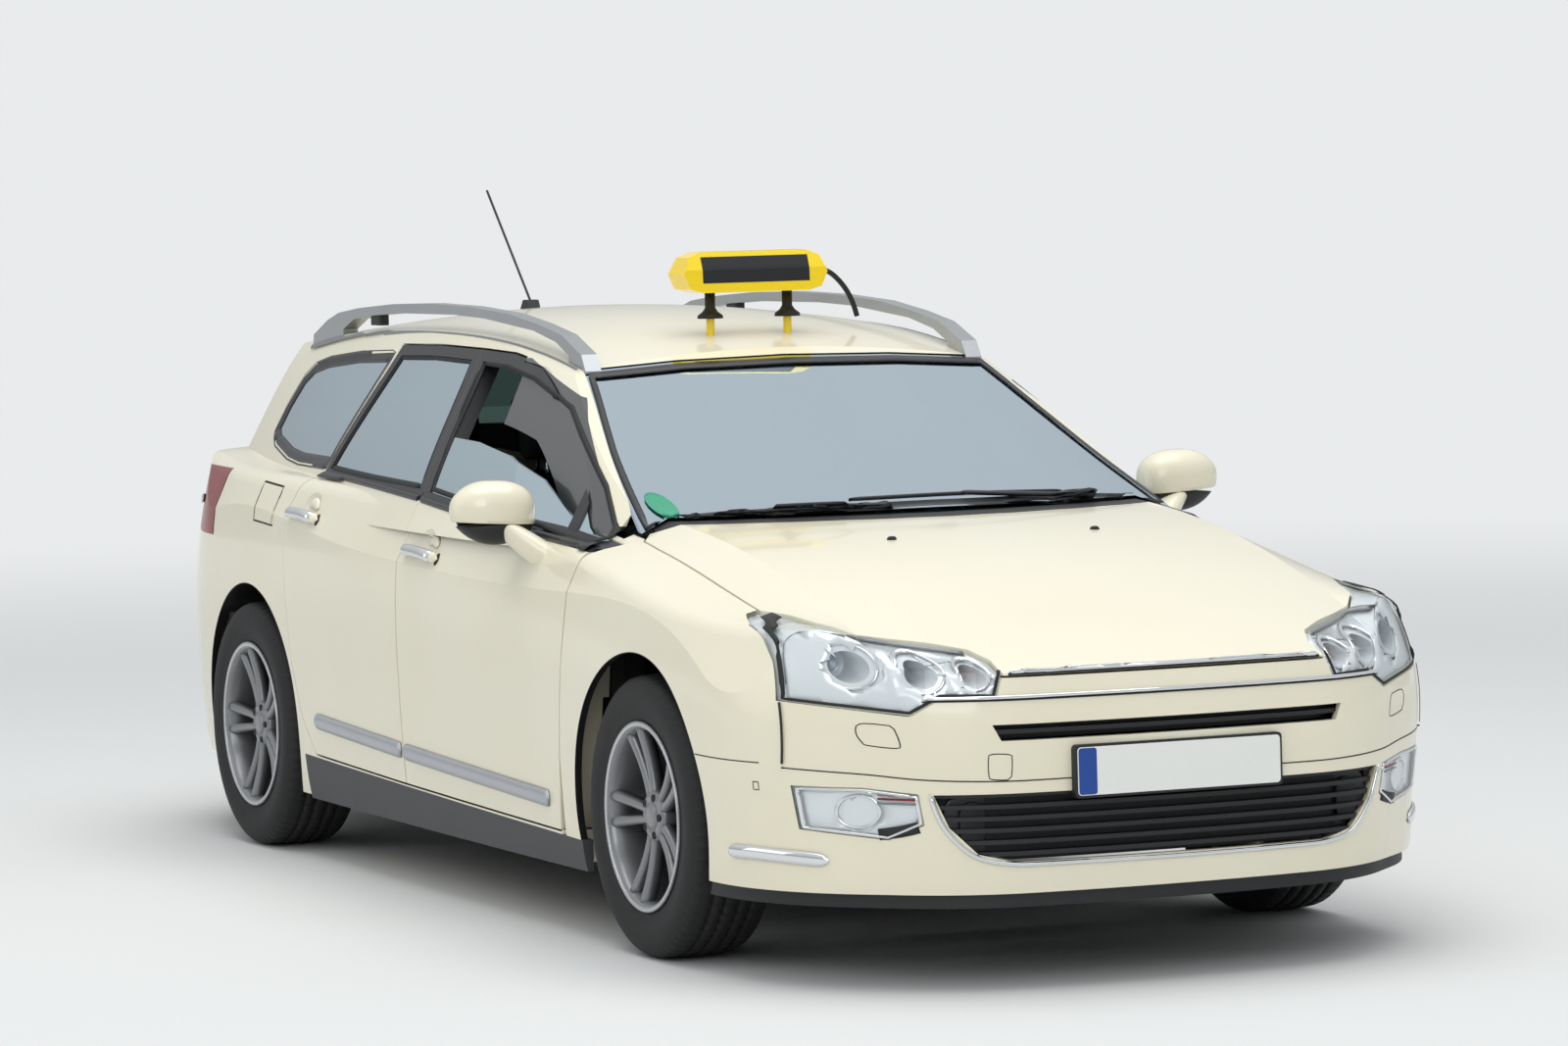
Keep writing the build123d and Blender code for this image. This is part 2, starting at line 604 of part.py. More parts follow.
def make_rim():
    """Alloy rim: barrel, and a dish cut down to pairs of spokes."""
    barrel = drum([
        (-BEAD_X, BEAD_RADIUS), (BEAD_X, BEAD_RADIUS), (BEAD_X + 3, FLANGE_RADIUS),
        (FLANGE_X, FLANGE_RADIUS),
    ])
    barrel = barrel - drum([(-BEAD_X - 1, 204), (90, 206), (FLANGE_X + 1, 212)])
    dish = drum([(20, HUB_RADIUS), (80, 212), (100, 212)]) - drum([(76, HUB_RADIUS), (101, 218)])
    side_plane = Plane(origin=(0, 0, 0), x_dir=(0, 1, 0), z_dir=(1, 0, 0))
    spoke = side_plane * outline_face([(40, 4), (214, 20), (214, 44), (40, 24)])
    spoke = extrude(spoke, 110, dir=(1, 0, 0))
    spokes = lying(20, 80, 0, 0, HUB_RADIUS)
    for i in range(SPOKE_PAIRS):
        for piece in (spoke, mirror(spoke, about=Plane.XY)):
            spokes = spokes + Rot(360 / SPOKE_PAIRS * i, 0, 0) * piece
    return (dish & spokes) + barrel - lying(0, 55, 0, 0, BORE_RADIUS)


tyre, rim = make_tyre(), make_rim()
WHEELS = [
    ("front_left", 1, FRONT_AXLE),
    ("front_right", -1, FRONT_AXLE),
    ("rear_left", 1, REAR_AXLE),
    ("rear_right", -1, REAR_AXLE),
]
for corner, side, axle in WHEELS:
    for kind, shape in (("tyre", tyre), ("rim", rim)):
        placed = Pos(TRACK_HALF, axle, AXLE_HEIGHT) * shape
        nodes[f"{kind}_{corner}"] = placed if side > 0 else other_side(placed)

# Steering knuckles on their kingpins
PIN_RADIUS = 12
PIN_PLAY = 0.5
KNUCKLE_HALF = 100
STUB_END = TRACK_HALF + 50
knuckle = (
    standing(KINGPIN_X, FRONT_AXLE, AXLE_HEIGHT - KNUCKLE_HALF, AXLE_HEIGHT + KNUCKLE_HALF, 24)
    + lying(KINGPIN_X, TRACK_HALF + 10, FRONT_AXLE, AXLE_HEIGHT, 50)
    + lying(TRACK_HALF, STUB_END, FRONT_AXLE, AXLE_HEIGHT, BORE_RADIUS - 1)
)
for bottom in (-KNUCKLE_HALF - 10, KNUCKLE_HALF - 30):
    low = AXLE_HEIGHT + bottom
    knuckle = knuckle - standing(KINGPIN_X, FRONT_AXLE, low, low + 40, PIN_RADIUS + PIN_PLAY)
nodes["knuckle_left"] = knuckle
nodes["knuckle_right"] = other_side(knuckle)

# Front suspension: lower arms, upper links and struts
arm_bottom = AXLE_HEIGHT - KNUCKLE_HALF - 30
link_bottom = AXLE_HEIGHT + KNUCKLE_HALF + 6
lower_arm = prism_z([
    (420, FRONT_AXLE - 130), (420, FRONT_AXLE + 150), (500, FRONT_AXLE + 60),
    (770, FRONT_AXLE + 26), (770, FRONT_AXLE - 26), (500, FRONT_AXLE - 60),
], arm_bottom, arm_bottom + 24)
STRUT_X = 600
suspension = (
    lower_arm
    + block(STRUT_X - 28, KINGPIN_X + 26, FRONT_AXLE - 24, FRONT_AXLE + 24, link_bottom, link_bottom + 22)
    + standing(KINGPIN_X, FRONT_AXLE, arm_bottom + 20, arm_bottom + 52, PIN_RADIUS)
    + standing(KINGPIN_X, FRONT_AXLE, link_bottom - 28, link_bottom + 2, PIN_RADIUS)
    + standing(STRUT_X, FRONT_AXLE, AXLE_HEIGHT + 20, 800, 28)
)
crossmember = block(-440, 440, FRONT_AXLE - 60, FRONT_AXLE + 70, arm_bottom - 2, arm_bottom + 40)
nodes["front_suspension"] = both(suspension) + crossmember

# Rear suspension: cross tube, trailing arms and stub axles
ARM_X = 630
TUBE_Y = 1100
TUBE_Z = 263
rear_arm = block(
    ARM_X - 22, ARM_X + 22, TUBE_Y - 38, REAR_AXLE + 40, AXLE_HEIGHT - 70, AXLE_HEIGHT - 10
)
rear_arm = rear_arm + lying(ARM_X - 20, TRACK_HALF + 10, REAR_AXLE, AXLE_HEIGHT, 40)
rear_arm = rear_arm + lying(TRACK_HALF, STUB_END, REAR_AXLE, AXLE_HEIGHT, BORE_RADIUS - 1)
nodes["rear_suspension"] = both(rear_arm) + lying(-ARM_X, ARM_X, TUBE_Y, TUBE_Z, 30)


def wheel_housing(axle, x0, x1, wall_bottom):
    """Liner over one wheel with its inner wall."""
    outer, inner = ARCH_RADIUS + 8, ARCH_RADIUS + 1
    ring = wheel_arch(axle, x0, x1, outer) - wheel_arch(axle, x0 - 10, x1 + 10, inner)
    ring = ring & block(0, 1000, axle - 500, axle + 500, FLOOR_HEIGHT + 20, 900)
    inner_wall = wheel_arch(axle, x0 - 4, x0, outer)
    inner_wall = inner_wall & block(0, 1000, axle - 500, axle + 500, wall_bottom, 900)
    return ring + inner_wall


front_housing = wheel_housing(FRONT_AXLE, 504, 868, AXLE_HEIGHT - 100) - [
    standing(STRUT_X, FRONT_AXLE, 600, 900, 29), door_hole(FRONT_DOOR), fender_edge
]
rear_housing = wheel_housing(REAR_AXLE, 604, wall_x, FLOOR_HEIGHT) - door_hole(REAR_DOOR)
nodes["wheel_housings"] = both(front_housing + rear_housing)

# Front frame: rails, inner wings, strut towers, radiator support, bulkhead and
# the pillars that the front doors hang on
BULKHEAD_X = 742
BULKHEAD_LEVELS = [
    (715, LOW_FLOOR + 16, FLOOR_HEIGHT), (BULKHEAD_X, FLOOR_HEIGHT, 900), (690, 900, 955),
]
bulkhead = [
    block(-half, half, BULKHEAD, BULKHEAD + 15, low, high) for half, low, high in BULKHEAD_LEVELS
]
hinge_pillar = block(BULKHEAD_X, 800, -1050, -900, FLOOR_HEIGHT, 915) - [
    door_hole(FRONT_DOOR), wheel_arch(FRONT_AXLE, 500, 1000, ARCH_RADIUS + HOUSING_ROOM)
]
front_frame = both(
    block(430, 490, -2230, BULKHEAD, 430, 510)
    + block(486, 494, -1480, BULKHEAD, 510, 850)
    + block(486, 680, FRONT_AXLE - 80, FRONT_AXLE + 80, 800, 812)
    + hinge_pillar
)
nodes["front_frame"] = front_frame + block(-490, 490, -2262, -2230, 300, 640) + bulkhead
nodes["engine_block"] = block(-380, 340, -2060, -1500, 330, 800)

# Floor with its tunnel, stepped up to the boot
STEP_Y = 1020
FLOOR_SHEET = 16
nodes["floor_pan"] = (
    block(-715, 715, BULKHEAD + 15, STEP_Y + 15, LOW_FLOOR, LOW_FLOOR + FLOOR_SHEET)
    + block(-590, 590, STEP_Y, STEP_Y + 15, LOW_FLOOR + FLOOR_SHEET, FLOOR_HEIGHT)
    + block(-590, 590, STEP_Y, 2235, FLOOR_HEIGHT, FLOOR_HEIGHT + 18)
    + block(-90, 90, BULKHEAD + 15, STEP_Y, LOW_FLOOR + FLOOR_SHEET, 320)
)
nodes["exhaust"] = block(-480, -180, 1810, 2200, 190, 290) + (
    Pos(-330, 1435, 206) * Rot(90, 0, 0) * Cylinder(22, 790)
)

# Cabin: dashboard with the steering wheel, front seats and rear bench
dash_side = [
    (-1140, 962), (-1140, 968), (-1000, 974), (-700, 988), (-575, 940), (-545, 820), (-610, 690),
    (-700, 480), (BULKHEAD + 16, 480), (BULKHEAD + 16, 962),
]
dash = extrude(centre_plane * outline_face(dash_side), 700, both=True)
dash_low = dash & block(-700, 700, BULKHEAD, 0, 400, 962)
dash_room = block(-640, 640, -1200, -930, 962, 1100) + block(-700, 700, -930, 0, 962, 1100)
dash_high = dash & glasshouse(UPPER_WALL) & dash_room
STEERING_PLACE = (370, -400, 935)
STEERING_SIDES = 36
steering_ring = RegularPolygon(191, STEERING_SIDES) - RegularPolygon(171, STEERING_SIDES)
steering = Pos(0, 0, -10) * extrude(steering_ring, 20, dir=(0, 0, 1))
steering = steering + Box(350, 46, 18) + Pos(0, 0, -20) * Cylinder(70, 36)
steering = steering + Pos(0, 0, -125) * Cylinder(24, 200)
nodes["dashboard"] = dash_low + dash_high + Pos(*STEERING_PLACE) * Rot(-64, 0, 0) * steering


# Seats as side profiles, (y, z) points about the hip point of the seat
CUSHION = [
    (-250, -62), (-292, 0), (-288, 52), (-250, 78), (-120, 76), (140, 44), (212, 60), (236, 0),
    (180, -62),
]
SEAT_BACK = [
    (172, 50), (236, 44), (300, 130), (352, 360), (404, 590), (410, 636), (378, 652), (336, 632),
    (284, 460), (240, 300), (204, 160),
]
HEADREST = [
    (372, 690), (350, 730), (366, 816), (398, 838), (440, 822), (446, 750), (424, 694),
]
SHOULDERS = [(1.0, 0), (1.0, 480), (0.8, 660), (0.8, 900)]


def seat(x, y, width, heads):
    """A seat or bench of one width, with a headrest at each of some places."""
    place = Pos(x, y, 400)
    half = width / 2
    profiles = extrude(centre_plane * outline_face(CUSHION), half, both=True) + extrude(
        centre_plane * outline_face(SEAT_BACK), half, both=True
    )
    shoulders = [(half - (1 - share) * 250, z) for share, z in SHOULDERS]
    shape = profiles & prism_y(mirrored([(half, -100)] + shoulders), -400, 500)
    for head_x in heads:
        head = Pos(head_x, 0, 0) * extrude(centre_plane * outline_face(HEADREST), 125, both=True)
        post = Pos(head_x, 396, 665) * Box(110, 14, 90)
        shape = shape + head + post
    return place * shape


SEAT_BASE_TOP = 345
front_base = block(190, 550, -190, 130, LOW_FLOOR + FLOOR_SHEET, SEAT_BASE_TOP)
nodes["front_seats"] = both(seat(370, -20, 490, [0]) + front_base)
bench_base = both(block(100, 500, 840, 1010, LOW_FLOOR + FLOOR_SHEET, SEAT_BASE_TOP))
nodes["rear_bench"] = seat(0, 975, 1180, [-340, 0, 340]) + bench_base

# Roof: rails, sign and aerial
RAIL_X = 516
RAIL_WIDTH = 44
RAIL_SIDE = [
    (-270, 1320), (-264, 1356), (-236, 1398), (-105, 1445), (59, 1470), (268, 1493), (557, 1506),
    (850, 1509), (1130, 1502), (1403, 1486), (1565, 1470), (1660, 1447), (1776, 1404),
    (1784, 1340), (1540, 1340), (1530, 1424), (1444, 1454), (1282, 1468), (1077, 1478),
    (664, 1482), (443, 1477), (87, 1452), (-65, 1426), (-150, 1394), (-160, 1320),
]
rail = Pos(RAIL_X, 0, 0) * extrude(centre_plane * outline_face(RAIL_SIDE), RAIL_WIDTH, dir=(1, 0, 0))
roof_top = skin & block(-700, 700, -500, 2000, 1250, ROOF_REACH)
nodes["roof_rails"] = both(rail - roof_top)
SIGN_Y = -30
sign_front = [(204, 1588), (186, 1550), (150, 1540)]
sign_rear = [(150, 1646), (186, 1632)]
sign_outline = mirrored(sign_rear + sign_front)
sign_body = prism_y(sign_outline, SIGN_Y - 60, SIGN_Y + 60)
sign_section = [
    (SIGN_Y - 58, 1540), (SIGN_Y - 54, 1600), (SIGN_Y - 34, 1646), (SIGN_Y + 34, 1646),
    (SIGN_Y + 54, 1600), (SIGN_Y + 58, 1540),
]
sign_body = sign_body & extrude(centre_plane * outline_face(sign_section), 210, both=True)
legs = both(standing(110, SIGN_Y, 1400, 1545, 11)) - roof_top
nodes["taxi_sign"] = sign_body + legs
aerial_base = extrude(
    centre_plane * outline_face([(1466, 1440), (1496, 1490), (1526, 1490), (1566, 1440)]),
    18, both=True,
)
aerial_rod = Pos(0, 1672, 1642) * Rot(-45.6, 0, 0) * Cylinder(3.5, 446)
nodes["aerial"] = aerial_base + aerial_rod - roof_top

# Door mirrors: a lofted shell on a foot that stands on the door
MIRROR_X = 952
MIRROR_Z = 1032
# Station along the car, half width, half height and corner radius
MIRROR_SECTIONS = [(-668, 44, 32, 28), (-640, 84, 56, 46), (-600, 100, 70, 54), (-545, 102, 72, 54)]
mirror_shell = loft([
    cross_plane(y) * Pos(MIRROR_X, MIRROR_Z) * RectangleRounded(2 * half_w, 2 * half_h, corner)
    for y, half_w, half_h, corner in MIRROR_SECTIONS
])
foot_side = [(-800, 872), (-800, 925), (-690, 985), (-570, 985), (-585, 940), (-650, 872)]
mirror_foot = prism_y(
    [(830, 860), (902, 885), (928, 940), (985, 975), (985, 1000), (920, 990), (830, 950)],
    -800, -570,
) & extrude(centre_plane * outline_face(foot_side), 1100, dir=(1, 0, 0))
door_side = skin & block(700, 1000, -850, -400, 700, 1200)
door_mirror = mirror_shell + mirror_foot - door_side
nodes["mirror_left"] = door_mirror
nodes["mirror_right"] = other_side(door_mirror)

os.makedirs("parts", exist_ok=True)
for name, shape in nodes.items():
    export_step(shape, f"parts/{name}.step")
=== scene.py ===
# %% [markdown]
# # A taxi cab, dressed in Blender
# The solids of the car come in as a fixed frame, in metres, with the front towards -Y and the
# car's left side towards +X. This script adds what a car gets after its body is built: paint,
# rubber, glass, chrome, cloth, tyre treads and small trim. Nothing here moves or resizes a solid.

# %% Load the frame
import math

import bmesh
import bpy
from mathutils import Matrix, Vector
from mathutils.bvhtree import BVHTree
from mathutils.geometry import interpolate_bezier


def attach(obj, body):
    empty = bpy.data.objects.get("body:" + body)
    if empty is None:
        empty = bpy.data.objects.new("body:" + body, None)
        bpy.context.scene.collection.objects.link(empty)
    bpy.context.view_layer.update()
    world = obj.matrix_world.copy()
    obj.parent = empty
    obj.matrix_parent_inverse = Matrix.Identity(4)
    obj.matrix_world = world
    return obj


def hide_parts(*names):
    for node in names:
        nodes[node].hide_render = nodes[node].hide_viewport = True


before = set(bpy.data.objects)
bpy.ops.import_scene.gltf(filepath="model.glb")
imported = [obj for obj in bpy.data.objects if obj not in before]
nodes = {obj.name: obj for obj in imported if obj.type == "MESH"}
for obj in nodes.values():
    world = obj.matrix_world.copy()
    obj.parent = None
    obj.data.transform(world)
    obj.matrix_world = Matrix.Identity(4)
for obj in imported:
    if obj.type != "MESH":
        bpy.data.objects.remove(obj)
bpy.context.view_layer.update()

# %% [markdown]
# ## The camera
# The photograph was taken from the front right corner with a long lens, from about 16 m away and
# at a standing person's height. A long lens keeps both ends of the car at nearly one scale, so a
# short lens close up would never match it, whatever the angle.

# %% Camera
AZIMUTH = math.radians(-23.932)
ELEVATION = math.radians(3.673)
ROLL = math.radians(-1.209)
IMAGE_WIDTH = 1600
FOCAL_PIXELS = 6466.5
SENSOR_MM = 36

camera_data = bpy.data.cameras.new("camera")
camera_data.sensor_width = SENSOR_MM
camera_data.lens = FOCAL_PIXELS * SENSOR_MM / IMAGE_WIDTH
camera_data.clip_end = 200
camera = bpy.data.objects.new("camera", camera_data)
bpy.context.scene.collection.objects.link(camera)
back = Vector((
    math.sin(AZIMUTH) * math.cos(ELEVATION),
    -math.cos(AZIMUTH) * math.cos(ELEVATION),
    math.sin(ELEVATION),
))
level_right = (-back).cross(Vector((0, 0, 1))).normalized()
level_up = level_right.cross(-back)
right = level_right * math.cos(ROLL) + level_up * math.sin(ROLL)
up = level_up * math.cos(ROLL) - level_right * math.sin(ROLL)
turn = Matrix((right, up, back)).transposed().to_4x4()
camera.matrix_world = Matrix.Translation((-6.6552, -15.2242, 1.9952)) @ turn
bpy.context.scene.camera = camera
print("lens", round(camera_data.lens, 1), "mm")

# %% [markdown]
# ## Floor and light
# A grey day lights a car with one big soft sky: bright overhead, darker towards the horizon. The
# world here does the same, and the dark band low in it is what draws the long soft reflections
# along the doors. The camera itself sees a plain pale background.


# %% One helper for every node tree
def add(tree, kind, links=None, **settings):
    """Adds a node. Settings are its properties, and links its inputs by name or number:
    a socket is linked and anything else is set."""
    node = tree.nodes.new(kind)
    for key, value in settings.items():
        setattr(node, key, value)
    for key, value in (links or {}).items():
        if isinstance(value, bpy.types.NodeSocket):
            tree.links.new(value, node.inputs[key])
        else:
            node.inputs[key].default_value = value
    return node


def colour(code):
    """An sRGB hex code as a linear colour with full alpha."""
    channels = [int(code[i:i + 2], 16) / 255 for i in (0, 2, 4)]
    linear = [c / 12.92 if c <= 0.04045 else ((c + 0.055) / 1.055) ** 2.4 for c in channels]
    return (*linear, 1)


def ramp(tree, factor, stops):
    """A colour ramp with (position, hex colour) stops, and its colour output."""
    node = add(tree, "ShaderNodeValToRGB", {0: factor})
    elements = node.color_ramp.elements
    while len(elements) < len(stops):
        elements.new(0.5)
    for element, (position, code) in zip(elements, stops):
        element.position = position
        element.color = colour(code)
    return node.outputs[0]


def maths(tree, operation, a, b=0.0, c=0.0):
    """A maths node's output."""
    return add(tree, "ShaderNodeMath", {0: a, 1: b, 2: c}, operation=operation).outputs[0]


# %% World, floor and lamps
scene = bpy.context.scene
scene.view_settings.view_transform = "Standard"
world = bpy.data.worlds.new("overcast")
scene.world = world
world.use_nodes = True
sky = world.node_tree
sky.nodes.clear()
sky_place = add(sky, "ShaderNodeTexCoord")
sky_axes = add(sky, "ShaderNodeSeparateXYZ", {0: sky_place.outputs["Generated"]})
sky_height = add(sky, "ShaderNodeMapRange", {0: sky_axes.outputs[2], 1: -1.0, 2: 1.0})
sky_light = ramp(sky, sky_height.outputs[0], [
    (0.0, "8C8C8A"), (0.49, "9A9A98"), (0.505, "7E8386"), (0.60, "B4BABE"), (0.78, "E6EAEC"),
    (1.0, "FFFFFF"),
])
SKY_STRENGTH = 0.85
sky_glow = add(sky, "ShaderNodeBackground", {0: sky_light, 1: SKY_STRENGTH})
backdrop = add(sky, "ShaderNodeBackground", {0: colour("E9EBEC"), 1: 1.0})
rays = add(sky, "ShaderNodeLightPath")
seen = add(sky, "ShaderNodeMath", {
    0: rays.outputs["Is Camera Ray"], 1: rays.outputs["Is Transmission Ray"],
}, operation="MAXIMUM")
glossy = add(sky, "ShaderNodeMath", {0: rays.outputs["Is Glossy Ray"], 1: 0.35}, operation="MULTIPLY")
either = add(sky, "ShaderNodeMath", {0: seen.outputs[0], 1: glossy.outputs[0]}, operation="MAXIMUM")
sky_mix = add(sky, "ShaderNodeMixShader", {
    0: either.outputs[0], 1: sky_glow.outputs[0], 2: backdrop.outputs[0],
})
add(sky, "ShaderNodeOutputWorld", {0: sky_mix.outputs[0]})

FLOOR_HALF = 60


def new_object(name, mesh, *materials):
    """An object for a mesh, in the scene, with its materials."""
    piece = bpy.data.objects.new(name, mesh)
    bpy.context.scene.collection.objects.link(piece)
    for material in materials:
        mesh.materials.append(material)
    return piece


def new_material(name):
    """A material with an empty node tree, and the tree."""
    material = bpy.data.materials.new(name)
    material.use_nodes = True
    material.node_tree.nodes.clear()
    return material, material.node_tree


def surface(tree, **inputs):
    """The shader with its output. Underscores in names stand for spaces."""
    links = {key.replace("_", " "): value for key, value in inputs.items()}
    shader = add(tree, "ShaderNodeBsdfPrincipled", links)
    add(tree, "ShaderNodeOutputMaterial", {0: shader.outputs[0]})
    return shader


BACKDROP = "E9EBEC"
FLOOR_NEAR, FLOOR_FAR = 5.0, 15.0
floor_finish, tree = new_material("floor_pale_concrete")
floor_place = add(tree, "ShaderNodeTexCoord")
away = add(tree, "ShaderNodeVectorMath", {0: floor_place.outputs["Object"]}, operation="LENGTH")
far = add(tree, "ShaderNodeMapRange", {0: away.outputs["Value"], 1: FLOOR_NEAR, 2: FLOOR_FAR},
          interpolation_type="SMOOTHSTEP")
ray = add(tree, "ShaderNodeLightPath").outputs
plain_view = maths(tree, "MAXIMUM", maths(tree, "MAXIMUM", ray["Is Camera Ray"], ray["Is Glossy Ray"]),
                   ray["Is Transmission Ray"])
concrete = add(tree, "ShaderNodeBsdfDiffuse", {0: colour("DCDDDD")})
horizon = add(tree, "ShaderNodeEmission", {0: colour(BACKDROP), 1: 1.0})
floor_mix = add(tree, "ShaderNodeMixShader", {
    0: maths(tree, "MULTIPLY", far.outputs[0], plain_view), 1: concrete.outputs[0], 2: horizon.outputs[0],
})
add(tree, "ShaderNodeOutputMaterial", {0: floor_mix.outputs[0]})
bm = bmesh.new()
bmesh.ops.create_grid(bm, x_segments=1, y_segments=1, size=FLOOR_HALF)
floor_mesh = bpy.data.meshes.new("floor")
bm.to_mesh(floor_mesh)
bm.free()
floor = new_object("floor", floor_mesh, floor_finish)

LAMPS = [
    ("overhead", (0, -1, 9), (0, 0, 0), 8, 420),
    ("front", (-6, -12, 6), (0, 0, 0.8), 6, 300),
    ("side", (-11, 2, 4), (0, 0, 0.8), 6, 90),
]
for name, place, target, size, watts in LAMPS:
    lamp_data = bpy.data.lights.new(name, "AREA")
    lamp_data.size = size
    lamp_data.energy = watts
    lamp = bpy.data.objects.new(name, lamp_data)
    lamp.location = place
    aim = Vector(target) - Vector(place)
    lamp.rotation_euler = aim.to_track_quat("-Z", "Y").to_euler()
    bpy.context.scene.collection.objects.link(lamp)
print("lamps:", len(LAMPS))

# %% [markdown]
# ## Paint
# A taxi of this country is light ivory: a solid colour under clear lacquer, sprayed and baked. The
# lacquer gives sharp reflections over a soft body colour, and spraying leaves a faint orange peel.
# A door is painted all over, but above the waist its frame carries satin black trim, and its inner
# face carries grey lining. One material tells them apart by the place and the facing of a point.

# %% Places and facings that materials ask about
def place_and_facing(tree):
    """The point in object space split into its axes, and the facing split likewise."""
    where = add(tree, "ShaderNodeTexCoord")
    place = add(tree, "ShaderNodeSeparateXYZ", {0: where.outputs["Object"]})
    facing = add(tree, "ShaderNodeSeparateXYZ", {0: where.outputs["Normal"]})
    return where.outputs["Object"], place.outputs, facing.outputs


def blend_colour(tree, factor, a, b):
    """A mix of two colours."""
    node = add(tree, "ShaderNodeMix", data_type="RGBA")
    for key, value in ((0, factor), (6, a), (7, b)):
        if isinstance(value, bpy.types.NodeSocket):
            tree.links.new(value, node.inputs[key])
        else:
            node.inputs[key].default_value = value
    return node.outputs[2]


def fine_bump(tree, where, size_mm, strength, depth_mm=0.05):
    """Noise bump with grains of a size in millimetres."""
    noise = add(tree, "ShaderNodeTexNoise", {"Vector": where, "Scale": 1000 / size_mm, "Detail": 3.0})
    bump = add(tree, "ShaderNodeBump", {
        "Height": noise.outputs["Fac"], "Strength": strength, "Distance": depth_mm / 1000,
    })
    return bump.outputs[0]


LINING_GREY = "3A3B3D"
TRIM_BLACK = "26272A"
WAIST = (0.964, 0.0594, -0.0150)
WAIST_FRONT, WAIST_MIDDLE = -0.689, 0.22
PEEL_MM = 6
LACQUER = 0.8
BELT_CENTRE = 0.8


def waist_height(tree, y):
    """Height of the waist line at a station, a gentle curve along the car."""
    base, slope, curve = WAIST
    from_front = maths(tree, "SUBTRACT", y, WAIST_FRONT)
    from_middle = maths(tree, "SUBTRACT", y, WAIST_MIDDLE)
    product = maths(tree, "MULTIPLY", from_front, from_middle)
    line = maths(tree, "MULTIPLY_ADD", from_front, slope, base)
    return maths(tree, "MULTIPLY_ADD", product, curve, line)


HANDLE_CUPS = [(0.020, 0.912), (0.962, 0.962)]
CUP_REACH = (0.062, 0.042)
CUP_DEPTH = 0.014


def cups(tree, place):
    """Depth of the finger cups behind the door handles, as a height for a bump."""
    total = 0.0
    for y, z in HANDLE_CUPS:
        along_cup = maths(tree, "DIVIDE", maths(tree, "SUBTRACT", place[1], y), CUP_REACH[0])
        up_cup = maths(tree, "DIVIDE", maths(tree, "SUBTRACT", place[2], z), CUP_REACH[1])
        squares = maths(tree, "ADD", maths(tree, "MULTIPLY", along_cup, along_cup),
                        maths(tree, "MULTIPLY", up_cup, up_cup))
        inside = maths(tree, "MAXIMUM", maths(tree, "SUBTRACT", 1.0, squares), 0.0)
        total = maths(tree, "ADD", total, maths(tree, "MULTIPLY", inside, -CUP_DEPTH))
    return total


AXLES = {"front": -1.3745, "rear": 1.4405}
AXLE_HEIGHT = 0.3395
LINER_BLACK = "141415"
ARCH_LIP = 0.3935
ARCH_REACH, ARCH_WALL, ARCH_CROWN = 0.52, 0.80, 0.70
DOOR_OPENING_TOP = 1.384


def inside_arches(tree, place):
    """One within the wheel arches, where the liners are black."""
    total = 0.0
    for axle in AXLES.values():
        along_car = maths(tree, "SUBTRACT", place[1], axle)
        up = maths(tree, "SUBTRACT", place[2], AXLE_HEIGHT)
        squares = maths(tree, "MULTIPLY_ADD", along_car, along_car, maths(tree, "MULTIPLY", up, up))
        total = maths(tree, "ADD", total, maths(tree, "LESS_THAN", squares, ARCH_LIP ** 2))
        deep = maths(tree, "LESS_THAN", squares, ARCH_REACH ** 2)
        inboard = maths(tree, "LESS_THAN", maths(tree, "ABSOLUTE", place[0]), ARCH_WALL)
        deep = maths(tree, "MULTIPLY", deep, inboard)
        deep = maths(tree, "MULTIPLY", deep, maths(tree, "LESS_THAN", place[2], ARCH_CROWN))
        total = maths(tree, "ADD", total, deep)
    return maths(tree, "MINIMUM", total, 1.0)


def inside_apertures(tree, place):
    """One behind the doors, where pillars and rails carry dark lining and seals."""
    low_slope = maths(tree, "LESS_THAN", maths(tree, "MULTIPLY_ADD", place[1], -0.575, place[2]), 1.504)
    high_slope = maths(tree, "LESS_THAN", maths(tree, "MULTIPLY_ADD", place[1], -0.228, place[2]), 1.377)
    below_rail = maths(tree, "LESS_THAN", place[2], DOOR_OPENING_TOP)
    above_waist = maths(tree, "GREATER_THAN", place[2], waist_height(tree, place[1]))
    before_quarter = maths(tree, "LESS_THAN", maths(tree, "MULTIPLY_ADD", place[2], 0.34, place[1]), 1.447)
    behind_mirror = maths(tree, "GREATER_THAN", place[1], -0.90)
    total = low_slope
    for part in (high_slope, below_rail, above_waist, before_quarter, behind_mirror):
        total = maths(tree, "MULTIPLY", total, part)
    return total


